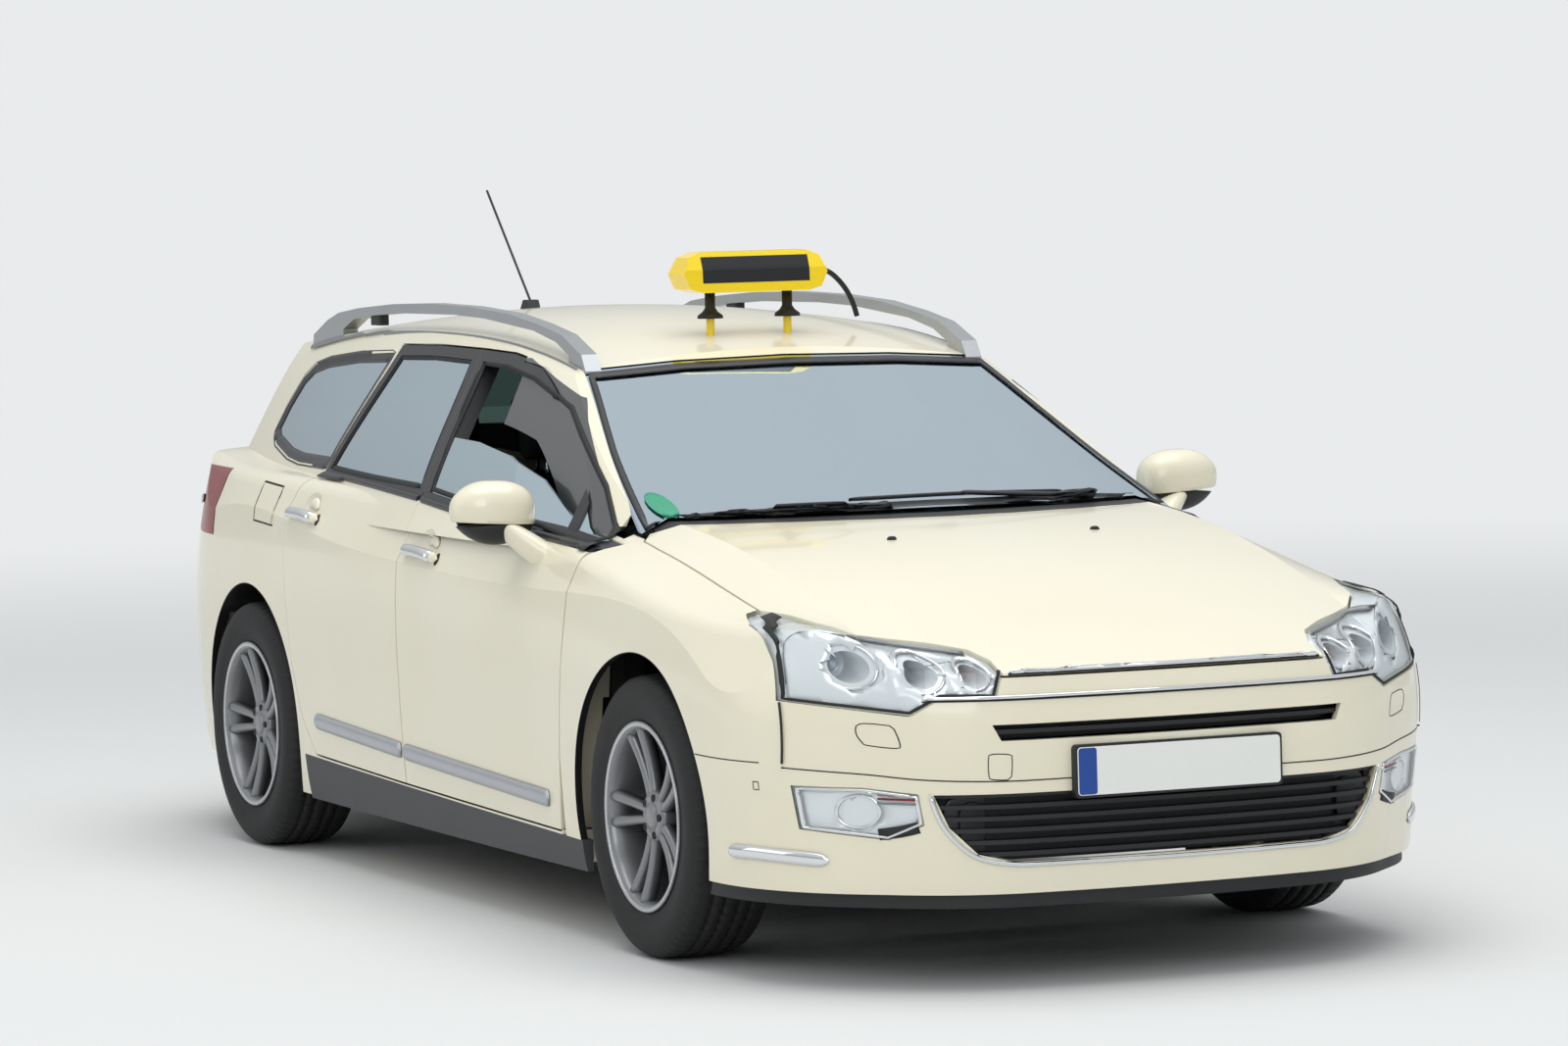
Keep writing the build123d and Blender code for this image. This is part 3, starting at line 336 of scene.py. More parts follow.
def paint(name, framed=False, lined=False, apertures=False):
    """Ivory paint. Framed doors turn black above the waist and have finger cups, lined panels are
    grey inside, and the body's sides are grey within the door openings."""
    material, tree = new_material(name)
    where, place, facing = place_and_facing(tree)
    tint = add(tree, "ShaderNodeTexNoise", {"Vector": where, "Scale": 1.3, "Detail": 2.0})
    shade = ramp(tree, tint.outputs["Fac"], [(0.3, "EAE3C9"), (0.7, "EEE8D1")])
    lacquer = LACQUER
    if framed:
        height = maths(tree, "SUBTRACT", place[2], waist_height(tree, place[1]))
        above = maths(tree, "GREATER_THAN", height, 0.0)
        shade = blend_colour(tree, above, shade, colour(TRIM_BLACK))
        lacquer = maths(tree, "MULTIPLY_ADD", above, -LACQUER, LACQUER)
    if lined:
        sideways = maths(tree, "MULTIPLY", place[0], facing[0])
        upright = maths(tree, "MULTIPLY", maths(tree, "SUBTRACT", place[2], BELT_CENTRE), facing[2])
        inward = maths(tree, "LESS_THAN", maths(tree, "ADD", sideways, upright), -0.12)
        shade = blend_colour(tree, inward, shade, colour(LINING_GREY))
    peel = fine_bump(tree, where, PEEL_MM, 0.06)
    if framed:
        peel = add(tree, "ShaderNodeBump", {
            "Height": cups(tree, place), "Strength": 1.0, "Distance": 1.0, "Normal": peel,
        }).outputs[0]
    if apertures:
        shade = blend_colour(tree, inside_apertures(tree, place), shade, colour(LINING_GREY))
    shade = blend_colour(tree, inside_arches(tree, place), shade, colour(LINER_BLACK))
    surface(
        tree, Base_Color=shade, Roughness=0.4, Coat_Weight=lacquer, Coat_Roughness=0.08, Normal=peel,
    )
    return material


paint_plain = paint("ivory_lacquered_paint")
paint_door = paint("ivory_paint_door", framed=True, lined=True)
paint_lined = paint("ivory_paint_lined", lined=True)
paint_sides = paint("ivory_paint_sides", lined=True, apertures=True)


# %% [markdown]
# ## The other finishes
# Moulded plastics have a grain that scatters light, so they get a fine bump and a high roughness.
# Chrome on plastic is a mirror with hardly any roughness. Tinted side glass lets about two thirds
# of the light through, and its reflections do most of the work.

# %% Plastics, rubber and metals
def plain(name, code, rough, metal=0.0, grain=None, coat=0.0, bump=0.3, variation=0.12):
    """A finish of one colour with slight variation, and grain of a size in millimetres."""
    material, tree = new_material(name)
    where, _, _ = place_and_facing(tree)
    cloud = add(tree, "ShaderNodeTexNoise", {"Vector": where, "Scale": 9.0, "Detail": 4.0})
    dark = tuple(c * (1 - variation) for c in colour(code)[:3]) + (1,)
    shade = blend_colour(tree, cloud.outputs["Fac"], dark, colour(code))
    extra = {"Normal": fine_bump(tree, where, grain, bump)} if grain else {}
    surface(tree, Base_Color=shade, Roughness=rough, Metallic=metal, Coat_Weight=coat, **extra)
    return material


trim_black = plain("satin_black_moulding", TRIM_BLACK, 0.38, grain=1.2, bump=0.1)
black_plastic = plain("grained_black_plastic", "1B1C1E", 0.55, grain=2.0)
grey_plastic = plain("grained_grey_plastic", "46484B", 0.6, grain=2.0)
seal_rubber = plain("rubber_seal", "101112", 0.6, grain=1.5)
tyre_rubber = plain("tyre_rubber", "1D1D1E", 0.72, grain=1.0, bump=0.5, variation=0.35)
alloy = plain("painted_alloy", "8A8B8E", 0.34, metal=0.55, grain=0.8, coat=0.4, bump=0.05)
alloy_bright = plain("machined_alloy_lip", "C9CBCD", 0.22, metal=0.85, grain=0.8, bump=0.05)
chrome = plain("bright_chrome", "E4E6E8", 0.05, metal=1.0, variation=0.03)
rail_silver = plain("satin_anodised_rail", "B2B5B8", 0.34, metal=0.9, grain=0.6, bump=0.05)
underbody = plain("underbody_coating", "19191A", 0.8, grain=5.0, bump=0.6)
iron = plain("rusted_cast_iron", "3A2F2A", 0.75, metal=0.4, grain=2.5, bump=0.6, variation=0.5)
steel = plain("scaled_steel", "6D675F", 0.5, metal=0.8, grain=2.0, variation=0.4)
seat_cloth = plain("black_seat_cloth", "1A1B1E", 0.95, grain=1.6, bump=0.8)
sign_yellow = plain("yellow_sign_plastic", "FFDC00", 0.25, coat=0.5, variation=0.03)
sign_black = plain("black_sign_film", "17181A", 0.35)
red_lens = plain("red_lamp_lens", "8E070B", 0.3, coat=0.15, variation=0.3)
lamp_clear_lens = plain("clear_ribbed_lens", "C9B9B4", 0.2, coat=0.8)
rib_grey = plain("grey_lamp_bezel", "8E9194", 0.35, metal=0.4)
bulb_glass = plain("bulb_and_projector_glass", "C4CCD6", 0.06, metal=0.35, coat=1.0)
plate_white = plain("reflective_plate", "EDEEEA", 0.35, grain=0.9, bump=0.1, variation=0.03)
plate_blue = plain("blue_plate_band", "16489C", 0.35)
lamp_chrome = plain("metallised_reflector", "F2F5F8", 0.25, metal=0.35, grain=14, bump=0.15, variation=0.06)
strip_silver = plain("satin_silver_strip", "B9BCC2", 0.3, metal=0.55, grain=0.8, bump=0.05)
mirror_glass = plain("silvered_mirror_glass", "C9D0D3", 0.02, metal=1.0, variation=0.02)
# Painted shadow: a dark finish laid in shut lines and gaps, where they are in shade.
shut_line_shadow = plain("shadow_in_a_shut_line", "2A2824", 0.7)
lamp_glass_orange = plain("orange_indicator_lens", "D97A16", 0.15, coat=1.0)
sticker_green = plain("green_windscreen_disc", "2E9E7A", 0.4)


# %% Glass
def glass(name, sheen, see_through, share, ior=1.5):
    """Thin glass: see-through, with a mirror's share of reflection that grows at its edges. Only the
    outside of each wall mirrors, because light inside thin glass isn't trapped at a flat angle."""
    material, tree = new_material(name)
    # The reflection is rendered, and its pale blue cast is a painted sky tint in the mirror's colour.
    reflect = add(tree, "ShaderNodeBsdfPrincipled", {
        "Base Color": colour(sheen), "Roughness": 0.02, "Metallic": 1.0,
    })
    through = add(tree, "ShaderNodeBsdfTransparent", {0: colour(see_through)})
    edge = add(tree, "ShaderNodeFresnel", {"IOR": ior})
    amount = maths(tree, "MULTIPLY_ADD", edge.outputs[0], 1.0 - share, share)
    outside = maths(tree, "SUBTRACT", 1.0, add(tree, "ShaderNodeNewGeometry").outputs["Backfacing"])
    amount = maths(tree, "MULTIPLY", amount, outside)
    mixed = add(tree, "ShaderNodeMixShader", {0: amount, 1: through.outputs[0], 2: reflect.outputs[0]})
    add(tree, "ShaderNodeOutputMaterial", {0: mixed.outputs[0]})
    return material


# The pale blue reflection colours of the glass are painted sky tint.
window_glass = glass("tinted_window_glass", "DCEDF7", "9DB0AC", 0.70)
screen_glass = glass("windscreen_glass", "DAEAF6", "A9BAB8", 0.72)
lamp_glass = glass("clear_lamp_cover", "F4F8FA", "FBFCFC", 0.03, ior=1.13)

# %% [markdown]
# ## Finishes on the solids
# Every solid of the car gets the finish of the real panel or casting that it stands for.

# %% Finishes of the solids
FINISHES = {
    paint_door: ["door_front_left", "door_front_right", "door_rear_left", "door_rear_right"],
    paint_sides: ["body_sides"],
    paint_lined: ["roof_panel", "tailgate"],
    paint_plain: ["bonnet", "front_fenders", "front_bumper", "rear_bumper", "fuel_flap", "mirror_left",
                  "mirror_right"],
    window_glass: ["glass_front_left", "glass_front_right", "glass_rear_left",
                   "glass_rear_right", "tailgate_glass"],
    lamp_glass: ["lamp_covers"],
    lamp_chrome: ["lamp_housings"],
    screen_glass: ["fixed_glass"],
    red_lens: ["tail_lamps"],
    black_plastic: ["grilles", "cowl_panel", "wheel_housings", "aerial"],
    grey_plastic: ["sill_skirts", "dashboard"],
    alloy: ["rim_front_left", "rim_front_right", "rim_rear_left", "rim_rear_right"],
    tyre_rubber: ["tyre_front_left", "tyre_front_right", "tyre_rear_left", "tyre_rear_right"],
    underbody: ["front_frame", "floor_pan"],
    iron: ["knuckle_left", "knuckle_right", "front_suspension", "rear_suspension", "engine_block"],
    steel: ["exhaust"],
    seat_cloth: ["front_seats", "rear_bench"],
    rail_silver: ["roof_rails"],
    sign_yellow: ["taxi_sign"],
}
for finish, names in FINISHES.items():
    for name in names:
        nodes[name].data.materials.clear()
        nodes[name].data.materials.append(finish)
print("finishes:", len(FINISHES))

# %% [markdown]
# ## Laying trim on the panels
# Strips, seals and shut lines follow the panel under them, as tape laid on a car does. Each starts
# as a flat grid in a straight view of the car. Every point of it is then cast along that view onto
# the panels and lifted off along the panel's own facing, so a strip takes the panel's curve without
# anyone measuring it. Both sides of a car are alike, so the right one is the left one mirrored.

# %% Casting points onto panels
PROBE = 0.006
JUMP = 0.010
LOOK = 0.04
VIEWS = {
    "side": (lambda a, b: Vector((2, a, b)), Vector((-1, 0, 0))),
    "front": (lambda a, b: Vector((a, -4, b)), Vector((0, 1, 0))),
    "rear": (lambda a, b: Vector((a, 4, b)), Vector((0, -1, 0))),
    "top": (lambda a, b: Vector((a, b, 3)), Vector((0, 0, -1))),
}
REACH = {"side": 1.42, "front": 7.0, "rear": 7.0, "top": 3.0}
PANELS = ["door_front_left", "door_rear_left", "body_sides", "roof_panel", "tailgate", "bonnet",
          "front_fenders", "front_bumper", "rear_bumper", "cowl_panel"]
PANES = ["glass_front_left", "glass_rear_left", "fixed_glass", "tailgate_glass"]


def caster(*names):
    """A search tree over some solids."""
    together = bmesh.new()
    for name in names:
        together.from_mesh(nodes[name].data)
    tree = BVHTree.FromBMesh(together)
    together.free()
    return tree


def cast(tree, view, a, b):
    """The point on the solids at a place in a view, and which way the surface faces there. Over a
    shut line it takes the depth of the panel beside it, and past an edge the nearest point to the
    line of sight."""
    start, direction = VIEWS[view]
    hits = []
    for da, db in ((0, 0), (PROBE, 0), (-PROBE, 0), (0, PROBE), (0, -PROBE)):
        _, facing, _, distance = tree.ray_cast(start(a + da, b + db), direction, REACH[view])
        if facing is not None:
            hits.append((distance, facing))
    if hits:
        distance, facing = hits[0]
        nearest = min(hits, key=lambda hit: hit[0])
        if distance > nearest[0] + JUMP:
            distance, facing = nearest
        point = start(a, b) + direction * distance
    else:
        looks = [start(a, b) + direction * (i * LOOK) for i in range(int(REACH[view] / LOOK))]
        point, facing, _, _ = min((tree.find_nearest(look) for look in looks), key=lambda found: found[3])
    if facing.dot(direction) > 0:
        facing = -facing
    return point, facing


panels = caster(*PANELS)
glazed = caster(*PANELS, *PANES)
screen = caster("fixed_glass")
covers = caster("lamp_covers", *PANELS)
print("panel trees ready")

# %% [markdown]
# A route is a few points in the view, joined by a line that swings through them like a sprung
# strip. The band along it gets its height from three numbers: the rise of its edges, the crown of
# its middle, and an arch from end to end for what stands off the panel, such as a handle.

# %% Bands along a route
def along(points, step, closed, rounded):
    """Points about a step apart on the line through a route."""
    corners = [Vector((a, b, 0)) for a, b in points]
    count = len(corners)
    line = []
    for i in range(count if closed else count - 1):
        if closed:
            before, p, q, after = (corners[(i + k) % count] for k in (-1, 0, 1, 2))
        else:
            before, p, q, after = (corners[min(max(i + k, 0), count - 1)] for k in (-1, 0, 1, 2))
        if rounded:
            leave, arrive = p + (q - before) / 6, q - (after - p) / 6
        else:
            leave, arrive = p.lerp(q, 1 / 3), p.lerp(q, 2 / 3)
        pieces = max(1, math.ceil((q - p).length / step))
        line += interpolate_bezier(p, leave, arrive, q, pieces + 1)[:-1]
    return line if closed else line + [corners[-1]]


def band(name, body, finish, tree, view, points, width, rise=0.001, crown=0.0, arch=0.0, tip=0.0,
         step=0.02, rows=2, closed=False, rounded=True, flipped=False, smooth=True, wall=None):
    """A band laid on the panels along a route. A tip narrows it towards its ends."""
    line = along(points, step, closed, rounded)
    last = len(line) if closed else len(line) - 1
    length = sum((q - p).length for p, q in zip(line, line[1:]))
    _, direction = VIEWS[view]
    bm = bmesh.new()
    bmesh.ops.create_grid(bm, x_segments=last, y_segments=rows, size=0.5)
    walked = [0.0]
    for p, q in zip(line, line[1:] + line[:1]):
        walked.append(walked[-1] + (q - p).length)
    for vert in bm.verts:
        index = round((vert.co.x + 0.5) * last)
        across = vert.co.y
        here = line[index % len(line)]
        if closed:
            ahead, behind = line[(index + 1) % len(line)], line[index - 1]
        else:
            ahead, behind = line[min(index + 1, last)], line[max(index - 1, 0)]
        run = (ahead - behind).normalized()
        share = walked[index] / max(length, 1e-6)
        spread = width
        if tip:
            from_end = min(walked[index], length - walked[index])
            spread *= math.sqrt(max(0.0, 1 - max(0.0, 1 - from_end / tip) ** 2)) * 0.98 + 0.02
        place = here + Vector((-run.y, run.x, 0)) * across * spread
        point, facing = cast(tree, view, place.x, place.y)
        bulge = crown * math.sqrt(max(0.0, 1 - (2 * across) ** 2)) * spread / width
        lift = rise + bulge + arch * (1 - (2 * share - 1) ** 6)
        vert.co = point + facing * lift
    if closed:
        bmesh.ops.remove_doubles(bm, verts=bm.verts, dist=1e-6)
    bm.normal_update()
    if sum(face.normal.dot(direction) * face.calc_area() for face in bm.faces) > 0:
        bmesh.ops.reverse_faces(bm, faces=bm.faces)
    if flipped:
        bmesh.ops.scale(bm, vec=(-1, 1, 1), verts=bm.verts)
        bmesh.ops.reverse_faces(bm, faces=bm.faces)
    piece = finished(bm, name, body, finish, smooth)
    thick = piece.modifiers.new("wall", "SOLIDIFY")
    thick.thickness = wall or rise + 0.0015 + arch * 0.6
    thick.offset = -1
    return piece


def finished(bm, name, body, finish, smooth=True):
    """Turns a bmesh into a piece that rides with a body of the car."""
    for face in bm.faces:
        face.smooth = smooth
    mesh = bpy.data.meshes.new(name)
    bm.to_mesh(mesh)
    bm.free()
    piece = new_object(name, mesh, finish)
    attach(piece, body)
    return piece


def pair(name, body, *args, **settings):
    """A band on the left side and its mirror image on the right."""
    for side, flipped in (("left", False), ("right", True)):
        band(f"{name}_{side}", body.format(side), *args, flipped=flipped, **settings)


# %% [markdown]
# ## Mouldings of the sides
# The sides carry a silver guard strip low on the doors, satin black frames and seals round the
# glass, and a grey moulding over the weld between roof and side. Strips like these are extruded
# plastic, clipped or glued on after painting.

# %% Strips, seals and frames
pair("guard_strip_front", "door_front_{}", strip_silver, panels, "side",
     [(-0.817, 0.334), (-0.3, 0.351), (0.188, 0.367)], 0.044, rise=0.003, crown=0.009, tip=0.012,
     step=0.012, rows=6)
pair("guard_strip_rear", "door_rear_{}", strip_silver, panels, "side",
     [(0.212, 0.368), (0.55, 0.380), (0.884, 0.392)], 0.044, rise=0.003, crown=0.009, tip=0.012,
     step=0.012, rows=6)
FRONT_LIGHT = [(-0.920, 0.973), (-0.730, 1.088), (-0.345, 1.269), (-0.060, 1.334), (0.150, 1.358),
               (0.312, 1.362), (0.235, 1.200), (0.156, 1.048), (-0.400, 1.010), (-0.880, 0.968)]
REAR_LIGHT = [(0.246, 1.052), (0.412, 1.364), (0.676, 1.368), (0.934, 1.362), (1.038, 1.066),
              (0.650, 1.058)]
QUARTER_LIGHT = [(1.100, 1.074), (1.014, 1.364), (1.290, 1.354), (1.550, 1.333), (1.664, 1.314),
                 (1.726, 1.280), (1.784, 1.204), (1.816, 1.132), (1.756, 1.108), (1.550, 1.081),
                 (1.400, 1.073)]
pair("seal_front", "door_front_{}", seal_rubber, glazed, "side", FRONT_LIGHT, 0.012, rise=0.0015,
     crown=0.003, step=0.03, closed=True, rounded=False)
pair("seal_rear", "door_rear_{}", seal_rubber, glazed, "side", REAR_LIGHT, 0.012, rise=0.0015,
     crown=0.003, step=0.03, closed=True, rounded=False)
pair("frame_quarter", "body", trim_black, glazed, "side", QUARTER_LIGHT, 0.034, rise=0.0012,
     crown=0.003, step=0.02, rows=4, closed=True, rounded=False)
pair("waist_front", "door_front_{}", trim_black, panels, "side",
     [(-0.93, 0.957), (-0.689, 0.968), (-0.2, 0.997), (0.186, 1.021)], 0.016, rise=0.002, crown=0.004)
pair("waist_rear", "door_rear_{}", trim_black, panels, "side",
     [(0.214, 1.023), (0.65, 1.040), (1.075, 1.050)], 0.016, rise=0.002, crown=0.004)
pair("roof_moulding", "body", rib_grey, panels, "top",
     [(0.5665, -0.22), (0.5675, 0.3), (0.5675, 0.9), (0.5665, 1.5), (0.5645, 1.78)], 0.008, rise=0.001,
     crown=0.002)
# The fuel flap's shut line is a thin band of painted shadow.
band("flap_line", "body", shut_line_shadow, panels, "side",
     [(1.400, 1.016), (1.236, 1.009), (1.232, 0.990), (1.238, 0.930), (1.246, 0.903), (1.400, 0.909)], 0.003,
     rise=0.0006, closed=True, rounded=False, flipped=True)
print("side trims done")

# %% [markdown]
# ## Chrome and shut lines of the nose
# Chrome strips run across the nose above and below its plain middle, a chrome lip holds the
# lower grille like a smile, and short chrome guards sit on the corners. Thin dark lines of painted
# shadow show where covers for the lamp washers and the towing eye are clipped into the bumper, and
# a thin black strip of painted shadow runs under each of the two upper chrome strips.

# %% Nose trims
band("chrome_bonnet_edge", "bonnet", chrome, panels, "front",
     [(-0.398, 0.729), (-0.2, 0.729), (0, 0.729), (0.2, 0.729), (0.398, 0.729)], 0.009, rise=0.001,
     crown=0.004, tip=0.01, rows=4)
band("chrome_nose_strip", "body", chrome, covers, "front",
     [(-0.586, 0.673), (-0.3, 0.673), (0, 0.673), (0.3, 0.673), (0.586, 0.673)], 0.010, rise=0.002,
     crown=0.004, tip=0.012, rows=4)
SMILE = [(0, 0.290), (0.30, 0.291), (0.405, 0.2935), (0.487, 0.314), (0.548, 0.378), (0.579, 0.458)]
band("chrome_grille_lip", "body", chrome, panels, "front",
     [(-a, b) for a, b in reversed(SMILE[1:])] + SMILE, 0.012, rise=0.002, crown=0.005, tip=0.02, rows=4)
pair("chrome_corner", "body", chrome, panels, "side",
     [(-2.140, 0.301), (-2.06, 0.306), (-1.96, 0.309), (-1.868, 0.307)], 0.036, rise=0.003, crown=0.008,
     tip=0.03, step=0.008, rows=6)
FOG_EDGE = [(0.594, 0.390), (0.604, 0.451), (0.700, 0.465), (0.808, 0.466), (0.794, 0.376),
            (0.652, 0.357)]
pair("fog_bezel", "body", chrome, covers, "front", FOG_EDGE, 0.008,
     rise=0.001, crown=0.003, closed=True, rounded=False, step=0.01)
WASHER_COVER = [(0.711, 0.596), (0.703, 0.617), (0.650, 0.613), (0.643, 0.606), (0.633, 0.570),
                (0.641, 0.562), (0.690, 0.568), (0.700, 0.574)]
pair("washer_cover_line", "body", shut_line_shadow, panels, "front", WASHER_COVER, 0.0025, rise=0.0003,
     closed=True, step=0.01)
band("tow_cover_line", "body", shut_line_shadow, panels, "front",
     [(-0.460, 0.536), (-0.453, 0.546), (-0.413, 0.544), (-0.407, 0.534), (-0.409, 0.494),
      (-0.416, 0.487), (-0.452, 0.489), (-0.459, 0.498)], 0.0025, rise=0.0003, closed=True, step=0.01)
pair("corner_sensor_line", "body", shut_line_shadow, panels, "side",
     [(-1.990, 0.475), (-1.974, 0.475), (-1.974, 0.457), (-1.990, 0.457)], 0.0025, rise=0.0004,
     closed=True, rounded=False, step=0.006)
pair("bumper_seam_side", "body", shut_line_shadow, panels, "side",
     [(-1.727, 0.520), (-1.86, 0.520), (-1.998, 0.520)], 0.003, rise=0.0003)
pair("bumper_seam_rise", "body", shut_line_shadow, panels, "front", [(0.834, 0.521), (0.834, 0.59), (0.833, 0.662)],
     0.003, rise=0.0003)
pair("bumper_seam_front", "body", shut_line_shadow, panels, "front",
     [(0.834, 0.512), (0.700, 0.502), (0.590, 0.490), (0.435, 0.484), (0.262, 0.484)], 0.003, rise=0.0006,
     step=0.01)
# Painted shadow: thin black strips, in the rubber finish, under the bonnet's chrome edge and the nose strip.
band("chrome_shadow", "bonnet", seal_rubber, panels, "front",
     [(-0.400, 0.7235), (0, 0.7235), (0.400, 0.7235)], 0.004, rise=0.0015)
band("nose_strip_shadow", "body", seal_rubber, covers, "front",
     [(-0.588, 0.6665), (0, 0.6665), (0.588, 0.6665)], 0.003, rise=0.002)
pair("fog_corner", "body", black_plastic, covers, "front", [(0.598, 0.381), (0.63, 0.371), (0.668, 0.364)],
     0.026, rise=0.0015, rows=2)
for i, z in enumerate((0.434, 0.444, 0.454)):
    pair(f"fog_rib_{i}", "body", rib_grey if i != 1 else red_lens, covers, "front",
         [(0.606, z), (0.640, z + 0.001), (0.672, z + 0.002)], 0.005, rise=0.001, crown=0.002)
LAMP_EDGE = [(0.420, 0.733), (0.441, 0.678), (0.551, 0.680), (0.613, 0.642), (0.824, 0.670),
             (0.808, 0.820), (0.782, 0.838), (0.752, 0.846)]
pair("lamp_gasket", "body", seal_rubber, covers, "front", LAMP_EDGE, 0.007, rise=0.0008, crown=0.001,
     rounded=False, step=0.012)
print("nose trims done")

# %% [markdown]
# ## Slabs with rounded corners
# Number plates, mirror glass and the like start as one square of a grid. Its corners are bevelled,
# the face is extruded for thickness and the front edge is bevelled again. The plates stay blank:
# white reflective sheet with a plain blue band at the left end.

# %% Slabs and plates
def slab(name, body, finish, size, corner, thickness, place, edge=0.001):
    """A slab with rounded corners, its face towards the +Z of its place."""
    bm = bmesh.new()
    bmesh.ops.create_grid(bm, x_segments=1, y_segments=1, size=0.5)
    bmesh.ops.scale(bm, vec=(size[0], size[1], 1), verts=bm.verts)
    bmesh.ops.bevel(bm, geom=bm.verts[:], offset=corner, segments=5, profile=0.5, affect="VERTICES",
                    material=-1)
    bottom = bm.faces[:]
    top = bmesh.ops.extrude_face_region(bm, geom=bottom)["geom"]
    top_verts = [item for item in top if isinstance(item, bmesh.types.BMVert)]
    top_faces = [item for item in top if isinstance(item, bmesh.types.BMFace)]
    bmesh.ops.translate(bm, vec=(0, 0, thickness), verts=top_verts)
    bmesh.ops.recalc_face_normals(bm, faces=bm.faces)
    rim = list({edge_item for face in top_faces for edge_item in face.edges})
    bmesh.ops.bevel(bm, geom=rim, offset=edge, segments=2, profile=0.5, affect="EDGES", material=-1)
    bmesh.ops.transform(bm, matrix=place, verts=bm.verts)
    bmesh.ops.recalc_face_normals(bm, faces=bm.faces)
    return finished(bm, name, body, finish, smooth=False)


def facing_out(point, facing, level=(0, 0, 1)):
    """A place at a point, with +Z along a facing and +Y as near upright as it can be."""
    out = Vector(facing).normalized()
    across = Vector(level).cross(out).normalized()
    upright = out.cross(across)
    return Matrix.Translation(point) @ Matrix((across, upright, out)).transposed().to_4x4()


PLATE_SIZE = (0.520, 0.110)
rear_point, rear_facing = cast(panels, "rear", 0, 0.815)
for end, body, point, facing in (
    ("front", "body", Vector((0, -2.4185, 0.4986)), Vector((0, -1, 0.02))),
    ("rear", "tailgate", rear_point, rear_facing),
):
    place = facing_out(point, facing)
    back = Matrix.Translation((0, 0, -0.012))
    slab(f"plate_holder_{end}", body, black_plastic, (0.532, 0.122), 0.010, 0.019, place @ back)
    front = Matrix.Translation((0, 0, 0.005))
    slab(f"plate_{end}", body, plate_white, PLATE_SIZE, 0.009, 0.004, place @ front)
    slab(f"plate_band_{end}", body, plate_blue, (0.046, 0.106), 0.007, 0.001,
         place @ Matrix.Translation((-0.235, 0, 0.0088)), edge=0.0003)
    for x in (-0.18, 0.18):
        slab(f"plate_screw_{end}_{'a' if x < 0 else 'b'}", body, plate_white, (0.012, 0.012), 0.0055, 0.0015,
             place @ Matrix.Translation((x, 0, 0.0088)), edge=0.0005)
band("disc_sticker", "body", sticker_green, screen, "front",
     [(-0.662, 1.049), (-0.634, 1.049), (-0.606, 1.049)], 0.056, rise=0.0004, tip=0.028, rows=8, step=0.003)
for side, sign in (("left", 1), ("right", -1)):
    depth = cast(panels, "front", 0.545, 0.350)[0].y
    slab(f"grille_blank_{side}", "body", trim_black, (0.150, 0.135), 0.040, 0.012,
         facing_out((sign * 0.468, depth + 0.010, 0.385), (sign * 0.22, -1, 0)), edge=0.004)
    slab(f"grille_blank_pad_{side}", "body", black_plastic, (0.062, 0.100), 0.028, 0.010,
         facing_out((sign * 0.480, depth + 0.000, 0.385), (sign * 0.22, -1, 0)), edge=0.004)
print("plates done")

# %% [markdown]
# ## Handles and wipers
# A pull handle is a chromed bar that bows away from the door over a finger cup, with a painted cap
# at its front end. Wipers park flat along the foot of the screen: a flexible black blade, and an
# arm from the spindle to the blade's middle.

# %% Handles and wipers
HANDLES = [("front", -0.068, 0.168, 0.880, 0.890), ("rear", 0.872, 1.094, 0.934, 0.941)]
for door, y0, y1, z0, z1 in HANDLES:
    split = y0 + 0.026
    middle = z0 + (z1 - z0) * (split - y0) / (y1 - y0)
    pair(f"handle_bar_{door}", f"door_{door}_{{}}", chrome, panels, "side",
         [(split + 0.002, middle), ((y0 + y1) / 2, (z0 + z1) / 2 + 0.002), (y1, z1)], 0.030, rise=0.002,
         crown=0.013, arch=0.017, tip=0.014, step=0.006, rows=8)
    pair(f"handle_cap_{door}", f"door_{door}_{{}}", paint_plain, panels, "side",
         [(y0, z0), (split, middle)], 0.029, rise=0.004, crown=0.012, arch=0.008, tip=0.010, step=0.005,
         rows=8)
    pair(f"handle_gasket_{door}", f"door_{door}_{{}}", seal_rubber, panels, "side",
         [(y0 - 0.001, z0), (split, middle)], 0.031, rise=0.0006, crown=0.001, tip=0.010, step=0.008,
         rows=4)
for door, y, z in (("front", 0.020, 0.925), ("rear", 0.962, 0.976)):
    pair(f"handle_scoop_{door}", f"door_{door}_{{}}", paint_plain, panels, "side",
         [(y - 0.055, z - 0.012), (y - 0.020, z), (y + 0.014, z - 0.006)], 0.030, rise=0.001, crown=0.007,
         tip=0.030, step=0.006, rows=8)
BLADES = [
    ("driver", [(-0.200, 1.048), (0.10, 1.050), (0.400, 1.042)]),
    ("passenger", [(-0.600, 1.016), (-0.42, 1.026), (-0.180, 1.034)]),
]
for place, route in BLADES:
    band(f"wiper_blade_{place}", "body", black_plastic, screen, "front", route, 0.0045, rise=0.005,
         crown=0.004, tip=0.03, rows=4)
    band(f"wiper_rubber_{place}", "body", seal_rubber, screen, "front", route, 0.0025, rise=0.007,
         crown=0.001, tip=0.03, rows=2)
ARMS = [("driver", [(0.50, 1.026), (0.32, 1.036), (0.10, 1.050)]),
        ("passenger", [(-0.10, 1.026), (-0.25, 1.029), (-0.42, 1.027)])]
for place, route in ARMS:
    band(f"wiper_arm_{place}", "body", trim_black, screen, "front", route, 0.006, rise=0.009, crown=0.004,
         tip=0.02, rows=4)
band("wiper_arm_rear", "tailgate", trim_black, glazed, "rear",
     [(0.0, 1.128), (-0.14, 1.150), (-0.30, 1.176)], 0.014, rise=0.018, crown=0.006, tip=0.015, rows=4)
